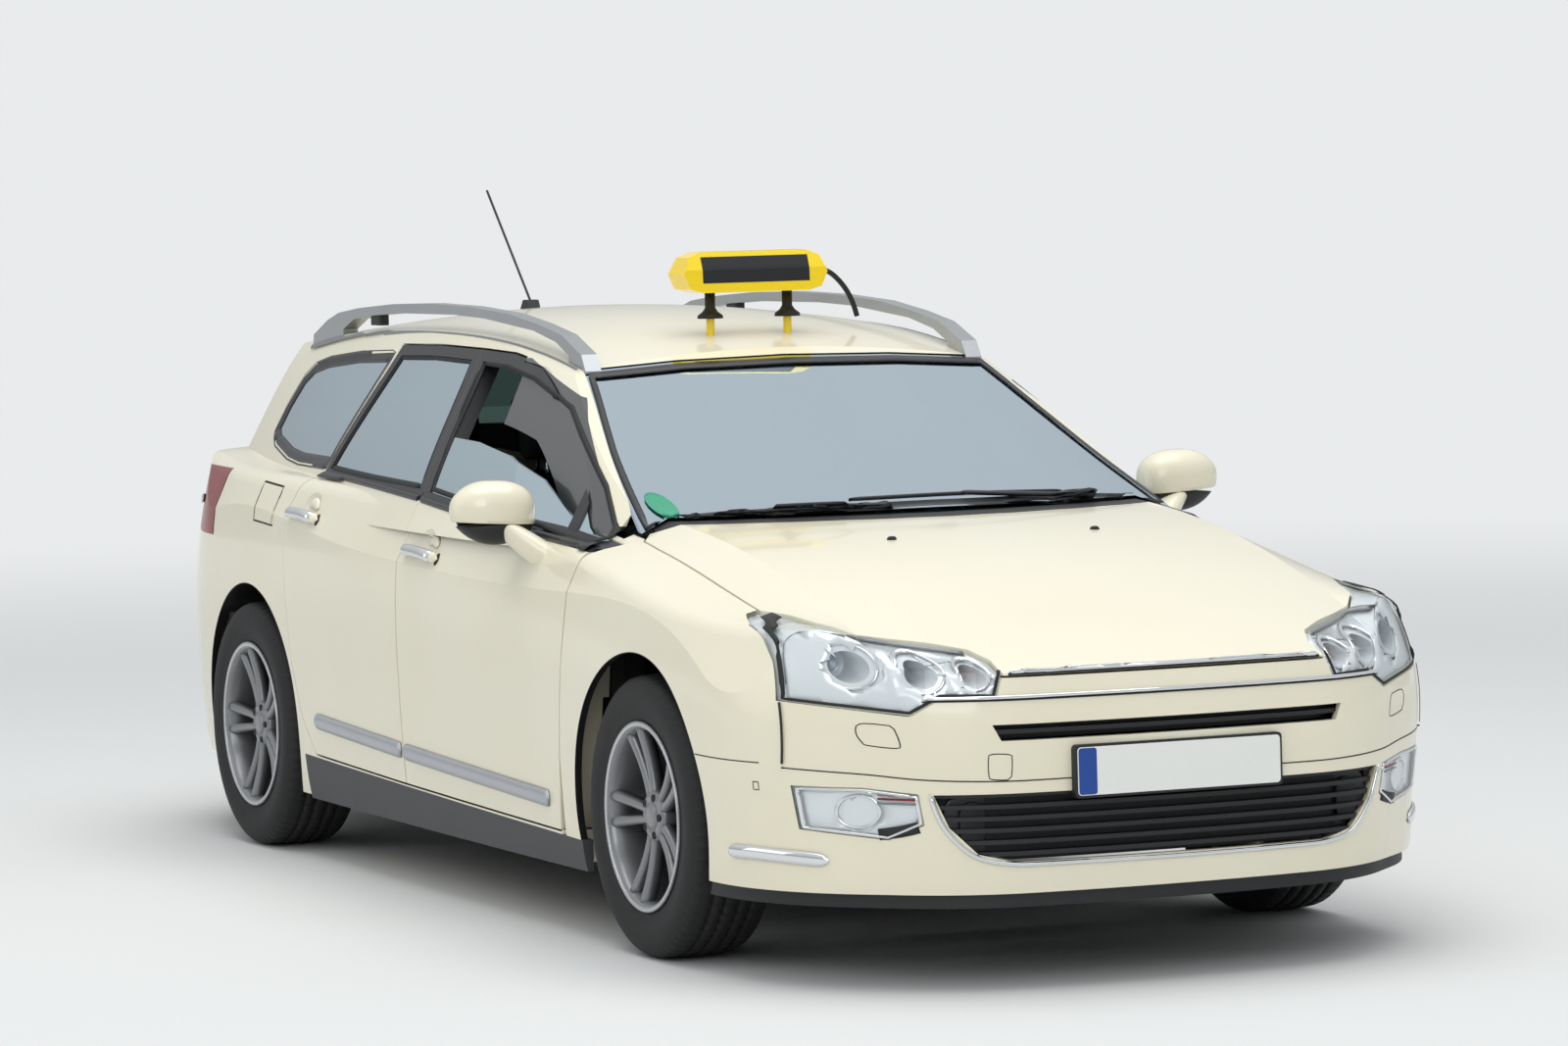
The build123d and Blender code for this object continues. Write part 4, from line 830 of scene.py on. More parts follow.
band("wiper_blade_rear", "tailgate", black_plastic, glazed, "rear",
     [(-0.04, 1.138), (-0.20, 1.162), (-0.36, 1.186)], 0.011, rise=0.010, crown=0.006, tip=0.02, rows=4)
band("third_lamp", "tailgate", red_lens, panels, "rear",
     [(-0.11, 1.386), (0, 1.389), (0.11, 1.386)], 0.018, rise=0.002, crown=0.003, tip=0.01, rows=4)
print("handles and wipers done")

# %% [markdown]
# ## Turned pieces
# Lathe work in Blender is a profile and a spin: a chain of edges in one plane is swept round an
# axis, and the last ring is merged with the first. Lamp bowls, washer jets, wheel hubs, sign feet
# and tyres are all made like this. Along X here the profile is given as (x, radius).

# %% The lathe
def lathe(profile, steps, axis="X", closed=True):
    """A bmesh turned from a profile of (along the axis, radius) points."""
    bm = bmesh.new()
    verts = [bm.verts.new((along_axis, 0, radius)) for along_axis, radius in profile]
    for a, b in zip(verts, verts[1:] + (verts[:1] if closed else [])):
        bm.edges.new((a, b))
    bmesh.ops.spin(bm, geom=bm.verts[:] + bm.edges[:], cent=(0, 0, 0), axis=(1, 0, 0), dvec=(0, 0, 0),
                   angle=2 * math.pi, steps=steps, use_merge=True, use_duplicate=False)
    bmesh.ops.remove_doubles(bm, verts=bm.verts, dist=1e-5)
    bmesh.ops.recalc_face_normals(bm, faces=bm.faces)
    if axis == "Z":
        upright = Matrix.Rotation(math.radians(-90), 3, "Y")
        bmesh.ops.rotate(bm, cent=(0, 0, 0), matrix=upright, verts=bm.verts)
    return bm


# %% [markdown]
# ## Roof sign
# The lit sign is a yellow moulded box. Dark film covers most of its front and back, left without
# any letters here, and it stands on two rubber feet. Its lead leaves at one end in a short bow.

# %% Sign faces, feet and lead
sign_tree = caster("taxi_sign")
for view in ("front", "rear"):
    band(f"sign_film_{view}", "body", sign_black, sign_tree, view,
         [(-0.152, 1.599), (-0.05, 1.599), (0.05, 1.599), (0.152, 1.599)], 0.068, rise=0.0006, rows=10,
         rounded=False, step=0.02, smooth=False)
FOOT = [(1.472, 0.0), (1.472, 0.034), (1.480, 0.033), (1.490, 0.020), (1.500, 0.0135), (1.541, 0.0135),
        (1.541, 0.0)]
for side, sign in (("left", 1), ("right", -1)):
    bm = lathe([(z, radius) for z, radius in FOOT], 28, axis="Z", closed=False)
    bmesh.ops.translate(bm, vec=(sign * 0.110, -0.030, 0), verts=bm.verts)
    finished(bm, f"sign_foot_{side}", "body", seal_rubber)


def tube(name, body, finish, route, radius):
    """A round rod along a smooth curve through some points, made a mesh."""
    curve = bpy.data.curves.new(name, "CURVE")
    curve.dimensions = "3D"
    curve.bevel_depth = radius
    curve.bevel_resolution = 4
    curve.use_fill_caps = True
    spline = curve.splines.new("NURBS")
    spline.points.add(len(route) - 1)
    for point, place in zip(spline.points, route):
        point.co = (*place, 1)
    spline.order_u = 3
    spline.use_endpoint_u = True
    spline.resolution_u = 8
    holder = bpy.data.objects.new(name, curve)
    mesh = bpy.data.meshes.new_from_object(holder)
    bpy.data.objects.remove(holder)
    bm = bmesh.new()
    bm.from_mesh(mesh)
    bpy.data.meshes.remove(mesh)
    return finished(bm, name, body, finish)


tube("sign_lead", "body", seal_rubber,
     [(0.150, 0.020, 1.560), (0.200, 0.035, 1.592), (0.262, 0.050, 1.590), (0.312, 0.060, 1.550),
      (0.345, 0.066, 1.500), (0.356, 0.068, 1.462)], 0.007)
for side, sign in (("left", 1), ("right", -1)):
    slab(f"rail_post_{side}", "body", black_plastic, (0.030, 0.075), 0.008, 0.050,
         Matrix.Translation((sign * 0.538, 1.292, 1.440)), edge=0.004)
print("sign done")

# %% [markdown]
# ## Lamps
# Behind the clear cover each headlamp has bright bowls pressed into one metallised shell, a bulb in
# each, and a ribbed strip along the foot. The solid shell has a round hole for each bowl. Each bowl
# is turned from a curve that starts steep and ends flat, so that it throws light forwards, and its
# rim is rolled.

# %% Bowls, rims and bulbs
housing_tree = caster("lamp_housings")
BOWL_DEPTH = 0.045
BOWL_CURVE = [(0.0, 1.06), (0.18, 1.0), (0.50, 0.80), (0.80, 0.52), (0.96, 0.25), (1.0, 0.0)]
BULB_CURVE = [(0.0, 0.0), (0.0, 0.34), (0.010, 0.36), (0.022, 0.32), (0.031, 0.18), (0.033, 0.0)]
BOWLS = [("dip", 0.700, 0.742, 0.050), ("main", 0.575, 0.728, 0.046), ("flash", 0.470, 0.722, 0.034),
         ("fog", 0.700, 0.415, 0.038)]
for lamp, x, z, radius in BOWLS:
    ring = [(x + radius * math.cos(math.radians(a)), z + radius * math.sin(math.radians(a)))
            for a in range(0, 360, 30)]
    pair(f"bowl_rim_{lamp}", "body", chrome, housing_tree, "front", ring, 0.008, rise=0.001, crown=0.004,
         closed=True, step=0.012, rows=4)
    rim_depth = max(cast(housing_tree, "front", a, b)[0].y for a, b in ring)
    bowl = [(-along_bowl * BOWL_DEPTH, share * radius) for along_bowl, share in BOWL_CURVE]
    wall = [(-along_bowl * BOWL_DEPTH - 0.002, share * radius) for along_bowl, share in reversed(BOWL_CURVE)]
    for side, sign in (("left", 1), ("right", -1)):
        place = Matrix.Translation((sign * x, rim_depth, z)) @ Matrix.Rotation(math.radians(-90), 4, "Z")
        bm = lathe(bowl + wall, 40, closed=False)
        bmesh.ops.transform(bm, matrix=place, verts=bm.verts)
        finished(bm, f"bowl_{lamp}_{side}", "body", lamp_chrome)
        bm = lathe([(b - BOWL_DEPTH, r * radius) for b, r in BULB_CURVE], 24, closed=False)
        bmesh.ops.transform(bm, matrix=place, verts=bm.verts)
        finished(bm, f"bulb_{lamp}_{side}", "body", bulb_glass if lamp != "flash" else lamp_glass_orange)
for i, z in enumerate((0.658, 0.668, 0.678)):
    pair(f"lamp_rib_{i}", "body", rib_grey, housing_tree, "front",
         [(0.620, z), (0.70, z + 0.004), (0.80, z + 0.010)], 0.005, rise=0.002, crown=0.003, rows=2)

# %% [markdown]
# The rest of the lamp is lined with the same bright skin, a little behind the clear cover. It starts
# as the outer face of the cover, moved inwards along its own facing, with the bowls left open.

# %% Bright liner
LINER_DEPTH = 0.009
LAMP_HEART = Vector((0, -1.4, 0.55))
LEAST_FACING = 0.25
liner = bmesh.new()
liner.from_mesh(nodes["lamp_covers"].data)
bmesh.ops.remove_doubles(liner, verts=liner.verts, dist=1e-5)
hidden = []
for face in liner.faces:
    middle = face.calc_center_median()
    outwards = (middle - LAMP_HEART).normalized()
    over_bowl = any(math.hypot(abs(middle.x) - x, middle.z - z) < radius for _, x, z, radius in BOWLS)
    if over_bowl or face.normal.dot(outwards) < LEAST_FACING:
        hidden.append(face)
bmesh.ops.delete(liner, geom=hidden, context="FACES")
liner.normal_update()
shifts = [(vert, vert.normal.copy()) for vert in liner.verts]
for vert, facing in shifts:
    vert.co -= facing * LINER_DEPTH
piece = finished(liner, "lamp_liner", "body", lamp_chrome)
thick = piece.modifiers.new("wall", "SOLIDIFY")
thick.thickness = 0.001
thick.offset = -1
pair("lamp_bezel", "body", rib_grey, housing_tree, "front",
     [(0.806, 0.700), (0.790, 0.790), (0.745, 0.815), (0.650, 0.800), (0.560, 0.782), (0.450, 0.765)],
     0.006, rise=0.003, crown=0.003, rows=2)
print("liner faces:", len(piece.data.polygons))

# %% Washer jets
JET = [(0.0, 0.0), (0.0, 0.013), (0.004, 0.012), (0.008, 0.008), (0.009, 0.0)]
for side, sign in (("left", 1), ("right", -1)):
    point, facing = cast(panels, "top", 0.272, -1.476)
    bm = lathe(JET, 20, axis="Z", closed=False)
    bmesh.ops.scale(bm, vec=(1, 0.7, 1), verts=bm.verts)
    bmesh.ops.translate(bm, vec=(sign * point.x, point.y, point.z - 0.001), verts=bm.verts)
    finished(bm, f"washer_jet_{side}", "bonnet", seal_rubber)
print("washer jets done")

# %% [markdown]
# ## Tail lamps and the tail
# The tail lamp is one red lens with a clear strip for reversing and turning. Across the tailgate a
# chromed grip bar spans the plate, and the bumper carries reflectors and a black lower edge.

# %% Tail trims
lens_tree = caster("tail_lamps", *PANELS)
pair("tail_clear_strip", "body", lamp_clear_lens, lens_tree, "rear",
     [(0.700, 0.925), (0.76, 0.930), (0.82, 0.936)], 0.026, rise=0.002, crown=0.003, rows=4, tip=0.01)
pair("tail_lens_line", "body", seal_rubber, lens_tree, "side",
     [(1.766, 0.852), (1.766, 0.93), (1.768, 1.03)], 0.004, rise=0.0005)
band("grip_bar", "tailgate", chrome, panels, "rear",
     [(-0.30, 0.905), (0, 0.909), (0.30, 0.905)], 0.022, rise=0.004, crown=0.010, tip=0.012, rows=6)
pair("rear_reflector", "body", red_lens, panels, "rear",
     [(0.52, 0.370), (0.60, 0.372), (0.68, 0.376)], 0.026, rise=0.002, crown=0.003, tip=0.012, rows=4)
band("rear_bumper_foot", "body", black_plastic, panels, "rear",
     [(-0.66, 0.262), (-0.3, 0.262), (0, 0.262), (0.3, 0.262), (0.66, 0.262)], 0.060, rise=0.002,
     crown=0.004, rows=4)
# The parking sensors are dark discs of painted shadow.
for i, x in enumerate((-0.66, -0.24, 0.24, 0.66)):
    band(f"park_sensor_{i}", "body", shut_line_shadow, panels, "rear",
         [(x - 0.011, 0.500), (x, 0.500), (x + 0.011, 0.500)], 0.022, rise=0.0006, tip=0.011, rows=4,
         step=0.003)
print("tail done")

# %% [markdown]
# ## Screen border and inner mirror
# The screen is bonded to the body behind a black enamel border, which also hides the glue. A dark
# housing for the rain sensor and inner mirror sits behind its top edge.

# %% Border, sensor housing and inner mirror
FRIT = [(0.706, 1.004), (0.632, 1.176), (0.550, 1.346), (0.300, 1.362), (0, 1.367)]
FRIT_FOOT = [(0, 1.024), (0.300, 1.022), (0.520, 1.014), (0.640, 1.006)]
RIGHT_HALF = FRIT_FOOT + FRIT[:-1]
band("screen_frit", "body", trim_black, screen, "front",
     RIGHT_HALF + [FRIT[-1]] + [(-a, b) for a, b in reversed(RIGHT_HALF[1:])],
     0.013, rise=0.0005, closed=True, rounded=False, step=0.03)
band("screen_frit_foot", "body", trim_black, screen, "front",
     [(-a, b + 0.006) for a, b in reversed(FRIT_FOOT)] + [(a, b + 0.006) for a, b in FRIT_FOOT[1:]],
     0.026, rise=0.0004, rounded=False, step=0.03)
point, facing = cast(screen, "front", 0, 1.315)
slab("sensor_housing", "body", trim_black, (0.19, 0.11), 0.03, 0.02,
     facing_out(point - facing * 0.060, facing), edge=0.006)
slab("inner_mirror", "body", black_plastic, (0.25, 0.075), 0.03, 0.03,
     facing_out((0, point.y + 0.15, 1.285), (0, -1, 0.15)), edge=0.008)
slab("inner_mirror_glass", "body", mirror_glass, (0.236, 0.062), 0.026, 0.003,
     facing_out((0, point.y + 0.151, 1.285), (0, 1, -0.15)), edge=0.001)
print("screen done")

# %% [markdown]
# ## Tyres
# A tyre is a body of revolution with its tread cut into it. The profile carries the beads, the
# bulging walls and four grooves, and one spin makes the carcass. Every third ring is then turned a
# little, which leaves narrow strips, and those strips are pushed in: they are the sipes that divide
# each rib into blocks. One tyre is made once and set down at the four corners.

# %% Tyre profile and tread
TYRE_RADIUS = 0.3395
TRACK_HALF = 0.790
WALL = [(0.090, 0.2198), (0.098, 0.2210), (0.1005, 0.232), (0.1045, 0.239), (0.1040, 0.245),
        (0.1085, 0.260), (0.1118, 0.282), (0.1112, 0.300), (0.1065, 0.3155), (0.0985, 0.3270),
        (0.0885, 0.3340)]
GROOVES = [0.0500, 0.0185]
GROOVE_HALF, GROOVE_DEPTH = 0.0045, 0.0075
TREAD_EDGE, TREAD_FALL = 0.080, 0.0035
PITCHES = 72
SIPE_START, SIPE_END, SIPE_DEPTH = 2.2, 2.9, 0.006


def tread_radius(x):
    """Radius of the tread, which falls a little towards its edges."""
    return TYRE_RADIUS - TREAD_FALL * (x / TREAD_EDGE) ** 2


def tyre_profile():
    """The half profile from bead to middle, and its mirror image."""
    half = WALL + [(TREAD_EDGE, tread_radius(TREAD_EDGE)), (0.066, tread_radius(0.066))]
    for groove in GROOVES:
        outer, inner = groove + GROOVE_HALF, groove - GROOVE_HALF
        half += [(outer, tread_radius(outer)), (outer - 0.001, tread_radius(outer) - GROOVE_DEPTH),
                 (inner + 0.001, tread_radius(inner) - GROOVE_DEPTH), (inner, tread_radius(inner))]
    return half + [(0.0, TYRE_RADIUS)] + [(-x, r) for x, r in reversed(half)]


def make_tyre():
    """A bmesh of one tyre about the X axis at the origin."""
    bm = lathe(tyre_profile(), PITCHES * 3)
    pitch = 360 / PITCHES
    for vert in bm.verts:
        turn = math.degrees(math.atan2(vert.co.y, vert.co.z)) % 360
        ring = round(turn / (pitch / 3)) % 3
        if ring:
            wanted = SIPE_START if ring == 1 else SIPE_END
            shift = math.radians(wanted - ring * pitch / 3)
            y, z = vert.co.y, vert.co.z
            vert.co.y = y * math.cos(shift) + z * math.sin(shift)
            vert.co.z = z * math.cos(shift) - y * math.sin(shift)
    strips = []
    for face in bm.faces:
        middle = face.calc_center_median()
        turn = math.degrees(math.atan2(middle.y, middle.z)) % pitch
        radius = math.hypot(middle.y, middle.z)
        on_tread = abs(middle.x) < 0.095 and radius > tread_radius(middle.x) - 0.003
        if SIPE_START < turn < SIPE_END and (on_tread or (abs(middle.x) < 0.103 and radius > 0.3290)):
            strips.append(face)
    pushed = bmesh.ops.extrude_face_region(bm, geom=strips)["geom"]
    for item in pushed:
        if isinstance(item, bmesh.types.BMVert):
            radius = math.hypot(item.co.y, item.co.z)
            item.co.y *= (radius - SIPE_DEPTH) / radius
            item.co.z *= (radius - SIPE_DEPTH) / radius
    bmesh.ops.recalc_face_normals(bm, faces=bm.faces)
    return bm


def set_down(bm, end, side):
    """A copy of a wheel piece at one corner of the car."""
    sign = 1 if side == "left" else -1
    corner = bm.copy()
    bmesh.ops.scale(corner, vec=(sign, 1, 1), verts=corner.verts)
    bmesh.ops.translate(corner, vec=(sign * TRACK_HALF, AXLES[end], TYRE_RADIUS), verts=corner.verts)
    if sign < 0:
        bmesh.ops.reverse_faces(corner, faces=corner.faces)
    return corner


CORNERS = [(end, side) for end in AXLES for side in ("left", "right")]
tyre = make_tyre()
for end, side in CORNERS:
    shape = set_down(tyre, end, side)
    piece = finished(shape, f"tyre_treaded_{end}_{side}", f"wheel_{end}_{side}", tyre_rubber)
    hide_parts(f"tyre_{end}_{side}")
print("tyre faces:", len(tyre.faces))
tyre.free()

# %% [markdown]
# ## Alloy wheels
# The wheel is cast in one piece and painted: a barrel, a hub, and five pairs of slim spokes that
# part towards the rim. A spoke starts as a flat grid bent to the dish of the wheel, its edges drop
# away as on the casting, and an extrusion gives it depth. The outer lip catches the light.

# %% Rims
BARREL = [(-0.0975, 0.2190), (0.0965, 0.2190), (0.1005, 0.2280), (0.1050, 0.2288), (0.1068, 0.2262),
          (0.1050, 0.2150), (0.0980, 0.2105), (0.0900, 0.2060), (-0.0960, 0.2040)]
LIP = [(0.1052, 0.2275), (0.1076, 0.2262), (0.1066, 0.2170), (0.1040, 0.2155)]
HUB = [(0.030, 0.0), (0.030, 0.062), (0.066, 0.062), (0.0765, 0.058), (0.0800, 0.050), (0.0810, 0.0345),
       (0.0785, 0.0330), (0.0785, 0.0318), (0.0830, 0.0300), (0.0850, 0.0220), (0.0855, 0.0)]
SPOKE_PAIRS = 5
SPOKE_ROOT, SPOKE_TIP = 0.046, 0.2100


def make_spoke():
    """One slim spoke along +Y, on the +Z side of its pair's middle line."""
    bm = bmesh.new()
    bmesh.ops.create_grid(bm, x_segments=10, y_segments=6, size=0.5)
    for vert in bm.verts:
        share, across = vert.co.x + 0.5, vert.co.y
        radius = SPOKE_ROOT + (SPOKE_TIP - SPOKE_ROOT) * share
        middle = 0.0125 + 0.0200 * share ** 1.2
        width = 0.0215 + 0.0060 * share ** 2
        front = 0.0780 + 0.0215 * share ** 1.4 - 0.0040 * math.sin(math.pi * share)
        vert.co = Vector((front - 0.0070 * abs(2 * across) ** 3, radius, middle + across * width))
    top = bmesh.ops.extrude_face_region(bm, geom=bm.faces[:])["geom"]
    deep = [item for item in top if isinstance(item, bmesh.types.BMVert)]
    bmesh.ops.translate(bm, vec=(-0.026, 0, 0), verts=deep)
    bmesh.ops.recalc_face_normals(bm, faces=bm.faces)
    return bm


def merge_into(target, source, *matrices):
    """Adds a turned copy of one bmesh to another for each matrix."""
    mesh = bpy.data.meshes.new("copy")
    for matrix in matrices:
        turned = source.copy()
        bmesh.ops.transform(turned, matrix=matrix, verts=turned.verts)
        if matrix.determinant() < 0:
            bmesh.ops.reverse_faces(turned, faces=turned.faces)
        turned.to_mesh(mesh)
        turned.free()
        target.from_mesh(mesh)
    bpy.data.meshes.remove(mesh)


rim = lathe(BARREL, 96)
hub = lathe(HUB, 48, closed=False)
merge_into(rim, hub, Matrix.Identity(4))
hub.free()
spoke = make_spoke()
turns = [Matrix.Rotation(math.radians(360 / SPOKE_PAIRS * i), 4, "X") for i in range(SPOKE_PAIRS)]
merge_into(rim, spoke, *turns, *(turn @ Matrix.Scale(-1, 4, (0, 0, 1)) for turn in turns))
spoke.free()
lip = lathe(LIP, 96)
# The bolt heads are black, in the rubber finish: painted shade of the bolt holes, which the hub doesn't
# have.
BOLT = [(0.0770, 0.0), (0.0770, 0.0095), (0.0822, 0.0092), (0.0825, 0.0070), (0.0808, 0.0062), (0.0808, 0.0)]
bolt_heads_painted_shade = bmesh.new()
bolt = lathe(BOLT, 18, closed=False)
bmesh.ops.translate(bolt, vec=(0, -0.0465, 0), verts=bolt.verts)
merge_into(bolt_heads_painted_shade, bolt, *turns)
bolt.free()
for end, side in CORNERS:
    body = f"wheel_{end}_{side}"
    piece = finished(set_down(rim, end, side), f"alloy_wheel_{end}_{side}", body, alloy)
    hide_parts(f"rim_{end}_{side}")
    finished(set_down(lip, end, side), f"alloy_lip_{end}_{side}", body, alloy_bright)
    finished(set_down(bolt_heads_painted_shade, end, side), f"wheel_bolts_{end}_{side}", body, seal_rubber)
print("rim faces:", len(rim.faces))
for shape in (rim, lip, bolt_heads_painted_shade):
    shape.free()

# %% [markdown]
# ## Door mirrors
# The mirror housing is a painted shell over a black lower half, with a fine split line between
# them, on a painted foot. It starts as a ball that is stretched to the housing's size, cut flat
# where the glass is, and drawn in towards its outer end. The same ball is cut along the split line,
# which gives the two colours.

# %% Mirror shells
MIRROR_CENTRE = (0.956, -0.600, 1.030)
MIRROR_HALF = (0.110, 0.074, 0.080)


def mirror_ball(lower):
    """The upper or lower part of the mirror housing, on the left side."""
    bm = bmesh.new()
    bmesh.ops.create_uvsphere(bm, u_segments=40, v_segments=24, radius=1.0)
    for vert in bm.verts:
        x, y, z = (math.copysign(abs(c) ** 0.82, c) for c in vert.co)
        outward = max(0.0, x)
        z *= 1 - 0.30 * outward ** 2
        z += 0.10 * outward
        y = min(y, 0.62) * (1 - 0.25 * outward ** 2)
        vert.co = Vector((x, y, z))
    bmesh.ops.scale(bm, vec=MIRROR_HALF, verts=bm.verts)
    gap = 0.0010 if lower else -0.0010
    bmesh.ops.bisect_plane(bm, geom=bm.verts[:] + bm.edges[:] + bm.faces[:], plane_co=(0, 0, -0.026 - gap),
                           plane_no=(-0.06, 0.0, -1 if lower else 1), clear_inner=True, dist=1e-6)
    border = [edge for edge in bm.edges if edge.is_boundary]
    bmesh.ops.contextual_create(bm, geom=border)
    if lower:
        bmesh.ops.scale(bm, vec=(0.985, 0.97, 1.0), verts=bm.verts)
    bmesh.ops.translate(bm, vec=MIRROR_CENTRE, verts=bm.verts)
    bmesh.ops.recalc_face_normals(bm, faces=bm.faces)
    return bm


def mirror_foot():
    """A stout foot from the door to the housing: a cone that leans outwards and up."""
    bm = bmesh.new()
    bmesh.ops.create_cone(bm, cap_ends=True, segments=28, radius1=0.052, radius2=0.034, depth=0.145)
    caps = [edge for edge in bm.edges if any(len(face.verts) > 4 for face in edge.link_faces)]
    bmesh.ops.bevel(bm, geom=caps, offset=0.010, segments=4, profile=0.5, affect="EDGES", material=-1)
    bmesh.ops.scale(bm, vec=(0.72, 1.15, 1.0), verts=bm.verts)
    lean = Matrix.Rotation(math.radians(50), 4, "Y") @ Matrix.Rotation(math.radians(-22), 4, "X")
    bmesh.ops.transform(bm, matrix=Matrix.Translation((0.888, -0.655, 0.952)) @ lean, verts=bm.verts)
    bmesh.ops.recalc_face_normals(bm, faces=bm.faces)
    return bm


for side, sign in (("left", 1), ("right", -1)):
    for part, shape, finish in (
        ("cap", mirror_ball(False), paint_plain), ("tray", mirror_ball(True), black_plastic),
        ("foot", mirror_foot(), paint_plain),
    ):
        if sign < 0:
            bmesh.ops.scale(shape, vec=(-1, 1, 1), verts=shape.verts)
            bmesh.ops.reverse_faces(shape, faces=shape.faces)
        piece = finished(shape, f"mirror_{part}_{side}", f"door_front_{side}", finish)
        if part == "cap":
            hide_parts(f"mirror_{side}")
    slab(f"mirror_glass_{side}", f"door_front_{side}", mirror_glass, (0.172, 0.112), 0.044, 0.003,
         facing_out((sign * 0.952, -0.5555, 1.034), (0, 1, 0)))
print("mirrors done")

# %% [markdown]
# ## Seats
# Car seats are foam under a sewn cloth cover, so they are crowned, with their seams pulled in. Each
# pad starts as its side profile, a little small, carried across the seat. A voxel remesh evens its
# mesh, and the cloth solver then inflates it for a few frames, with each point held within a small
# distance of where it began. The sewn channels come after that, as shallow valleys.

# %% Pads blown up like a cushion
CUSHION = [(-0.238, -0.050), (-0.278, 0.002), (-0.274, 0.046), (-0.244, 0.066), (-0.120, 0.064),
           (0.140, 0.033), (0.206, 0.048), (0.224, 0.0), (0.172, -0.050)]
SEAT_BACK = [(0.186, 0.062), (0.230, 0.056), (0.290, 0.136), (0.341, 0.362), (0.392, 0.586),
             (0.398, 0.628), (0.376, 0.640), (0.345, 0.622), (0.295, 0.456), (0.252, 0.300), (0.217, 0.162)]
HEADREST = [(0.382, 0.700), (0.360, 0.734), (0.375, 0.810), (0.400, 0.828), (0.433, 0.814), (0.437, 0.752),
            (0.418, 0.702)]
VOXEL = 0.010
SIM_FRAMES = 20
HIP_HEIGHT = 0.400
SHOULDER_START = 0.48


def pad_block(profile, half_width, taper):
    """A side profile carried across a seat, narrower towards the shoulders where it is tapered."""
    bm = bmesh.new()
    face = bm.faces.new([bm.verts.new((-half_width, y, z)) for y, z in profile])
    across = bmesh.ops.extrude_face_region(bm, geom=[face])["geom"]
    far_side = [item for item in across if isinstance(item, bmesh.types.BMVert)]
    bmesh.ops.translate(bm, vec=(2 * half_width, 0, 0), verts=far_side)
    if taper:
        for vert in bm.verts:
            rise = max(0.0, vert.co.z - SHOULDER_START) / 0.18
            vert.co.x -= math.copysign(taper * min(1.0, rise), vert.co.x)
    bmesh.ops.recalc_face_normals(bm, faces=bm.faces)
    return bm


def settled(bm, cap):
    """A pad's mesh, remeshed and blown up until each point has moved by a cap at most."""
    mesh = bpy.data.meshes.new("pad")
    bm.to_mesh(mesh)
    bm.free()
    pad = new_object("pad", mesh)
    remesh = pad.modifiers.new("even", "REMESH")
    remesh.mode = "VOXEL"
    remesh.voxel_size = VOXEL
    graph = bpy.context.evaluated_depsgraph_get()
    pad.data = bpy.data.meshes.new_from_object(pad.evaluated_get(graph))
    pad.modifiers.clear()
    start = [vert.co.copy() for vert in pad.data.vertices]
    cloth = pad.modifiers.new("foam", "CLOTH")
    cloth.settings.use_pressure = True
    cloth.settings.uniform_pressure_force = 4.0
    cloth.settings.effector_weights.gravity = 0.0
    for number in range(1, SIM_FRAMES + 1):
        scene.frame_set(number)
    graph = bpy.context.evaluated_depsgraph_get()
    blown = pad.evaluated_get(graph).data
    moved = [blown.vertices[i].co.copy() for i in range(len(start))]
    pad.modifiers.clear()
    for vert, before, after in zip(pad.data.vertices, start, moved):
        step = after - before
        vert.co = before + step * min(1.0, cap / max(step.length, 1e-9))
    scene.frame_set(1)
    out = bmesh.new()
    out.from_mesh(pad.data)
    old = pad.data
    bpy.data.objects.remove(pad)
    bpy.data.meshes.remove(old)
    bmesh.ops.smooth_vert(out, verts=out.verts, factor=0.5, use_axis_x=True, use_axis_y=True,
                          use_axis_z=True)
    return out


def sewn(bm, seams, depth=0.007, reach=0.007):
    """Presses seams into a pad: valleys along planes of constant x."""
    bm.normal_update()
    for vert in bm.verts:
        for x in seams:
            away = (vert.co.x - x) / reach
            if abs(away) < 3:
                vert.co -= vert.normal * depth * math.exp(-away * away)


def place_pad(bm, name, x, y, node, cover):
    """Sets a copy of a pad down as a piece of the car."""
    copy = bm.copy()
    bmesh.ops.translate(copy, vec=(x, y, HIP_HEIGHT), verts=copy.verts)
    piece = finished(copy, name, "body", cover)
    soften = piece.modifiers.new("soften", "SUBSURF")
    soften.levels = soften.render_levels = 1
    if node:
        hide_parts(node)


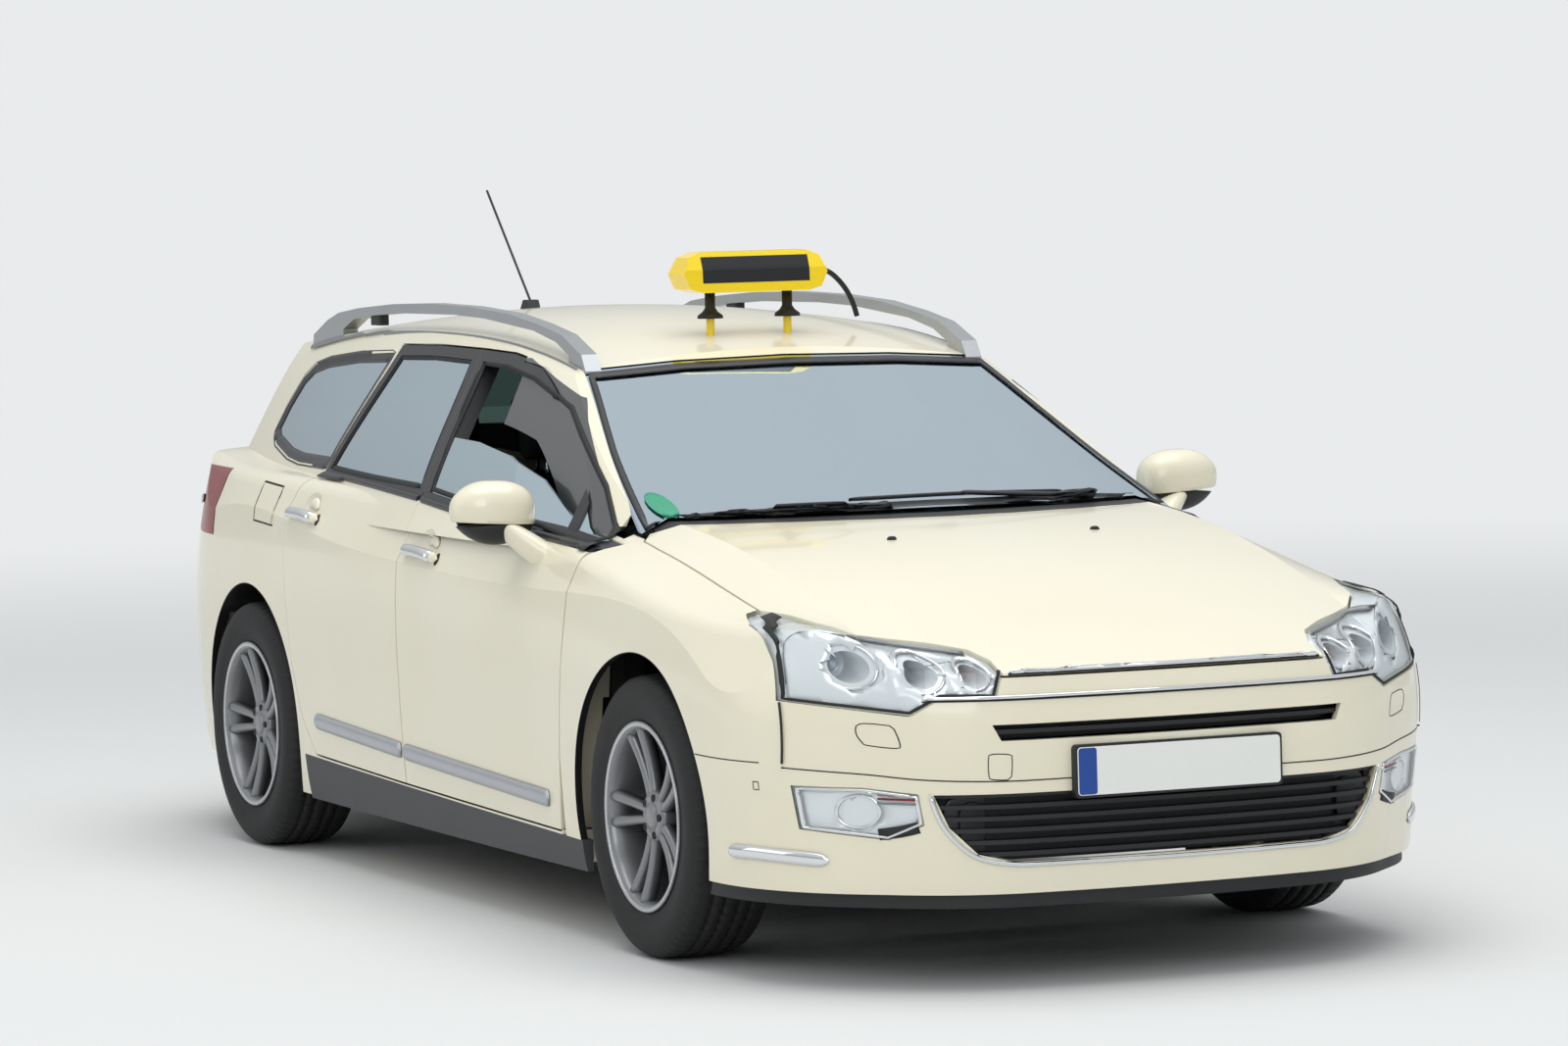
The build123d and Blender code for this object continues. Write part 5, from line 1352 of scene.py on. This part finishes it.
SEATS = [("driver", 0.370, -0.020), ("passenger", -0.370, -0.020)]
cushion = settled(pad_block(CUSHION, 0.228, 0), 0.022)
sewn(cushion, (-0.135, 0.135))
seat_back = settled(pad_block(SEAT_BACK, 0.226, 0.045), 0.022)
sewn(seat_back, (-0.130, 0.130))
headrest = settled(pad_block(HEADREST, 0.112, 0), 0.014)
bench = settled(pad_block(CUSHION, 0.574, 0), 0.022)
sewn(bench, (-0.340, -0.110, 0.110, 0.340))
bench_back = settled(pad_block(SEAT_BACK, 0.572, 0.045), 0.022)
sewn(bench_back, (-0.340, -0.110, 0.110, 0.340))
for name, x, y in SEATS:
    place_pad(cushion, f"seat_cushion_{name}", x, y, "front_seats" if name == "driver" else None, seat_cloth)
    place_pad(seat_back, f"seat_back_{name}", x, y, None, seat_cloth)
    place_pad(headrest, f"headrest_{name}", x, y, None, seat_cloth)
place_pad(bench, "bench_cushion", 0, 0.975, "rear_bench", seat_cloth)
place_pad(bench_back, "bench_back", 0, 0.975, None, seat_cloth)
for i, x in enumerate((-0.340, 0.0, 0.340)):
    place_pad(headrest, f"bench_headrest_{i}", x, 0.975, None, seat_cloth)
for shape in (cushion, seat_back, headrest, bench, bench_back):
    shape.free()
POSTS = [(x, y) for _, x, y in SEATS] + [(x, 0.975) for x in (-0.340, 0.0, 0.340)]
posts = bmesh.new()
for x, y in POSTS:
    for shift in (-0.045, 0.045):
        bmesh.ops.create_cone(
            posts, cap_ends=True, segments=12, radius1=0.006, radius2=0.006, depth=0.120,
            matrix=Matrix.Translation((x + shift, y + 0.398, HIP_HEIGHT + 0.668)),
        )
finished(posts, "headrest_posts", "body", chrome)
SEAT_BASES = [(0.370, -0.030, 0.340, 0.300), (-0.370, -0.030, 0.340, 0.300), (0.300, 0.925, 0.380, 0.160),
              (-0.300, 0.925, 0.380, 0.160)]
for i, (x, y, wide, deep) in enumerate(SEAT_BASES):
    slab(f"seat_base_{i}", "body", grey_plastic, (wide, deep), 0.02, 0.125,
         Matrix.Translation((x, y, 0.217)), edge=0.006)

# %% Steering wheel rim
WHEEL_PLACE = Matrix.Translation((0.370, -0.400, 0.935)) @ Matrix.Rotation(math.radians(-64), 4, "X")
bm = bmesh.new()
bmesh.ops.create_circle(bm, segments=14, radius=0.0155,
                        matrix=Matrix.Translation((0.181, 0, 0)) @ Matrix.Rotation(math.radians(90), 4, "X"))
bmesh.ops.spin(bm, geom=bm.verts[:] + bm.edges[:], cent=(0, 0, 0), axis=(0, 0, 1), dvec=(0, 0, 0),
               angle=2 * math.pi, steps=56, use_merge=True, use_duplicate=False)
bmesh.ops.remove_doubles(bm, verts=bm.verts, dist=1e-5)
bmesh.ops.recalc_face_normals(bm, faces=bm.faces)
bmesh.ops.transform(bm, matrix=WHEEL_PLACE, verts=bm.verts)
finished(bm, "steering_rim", "body", black_plastic)
print("cabin done")
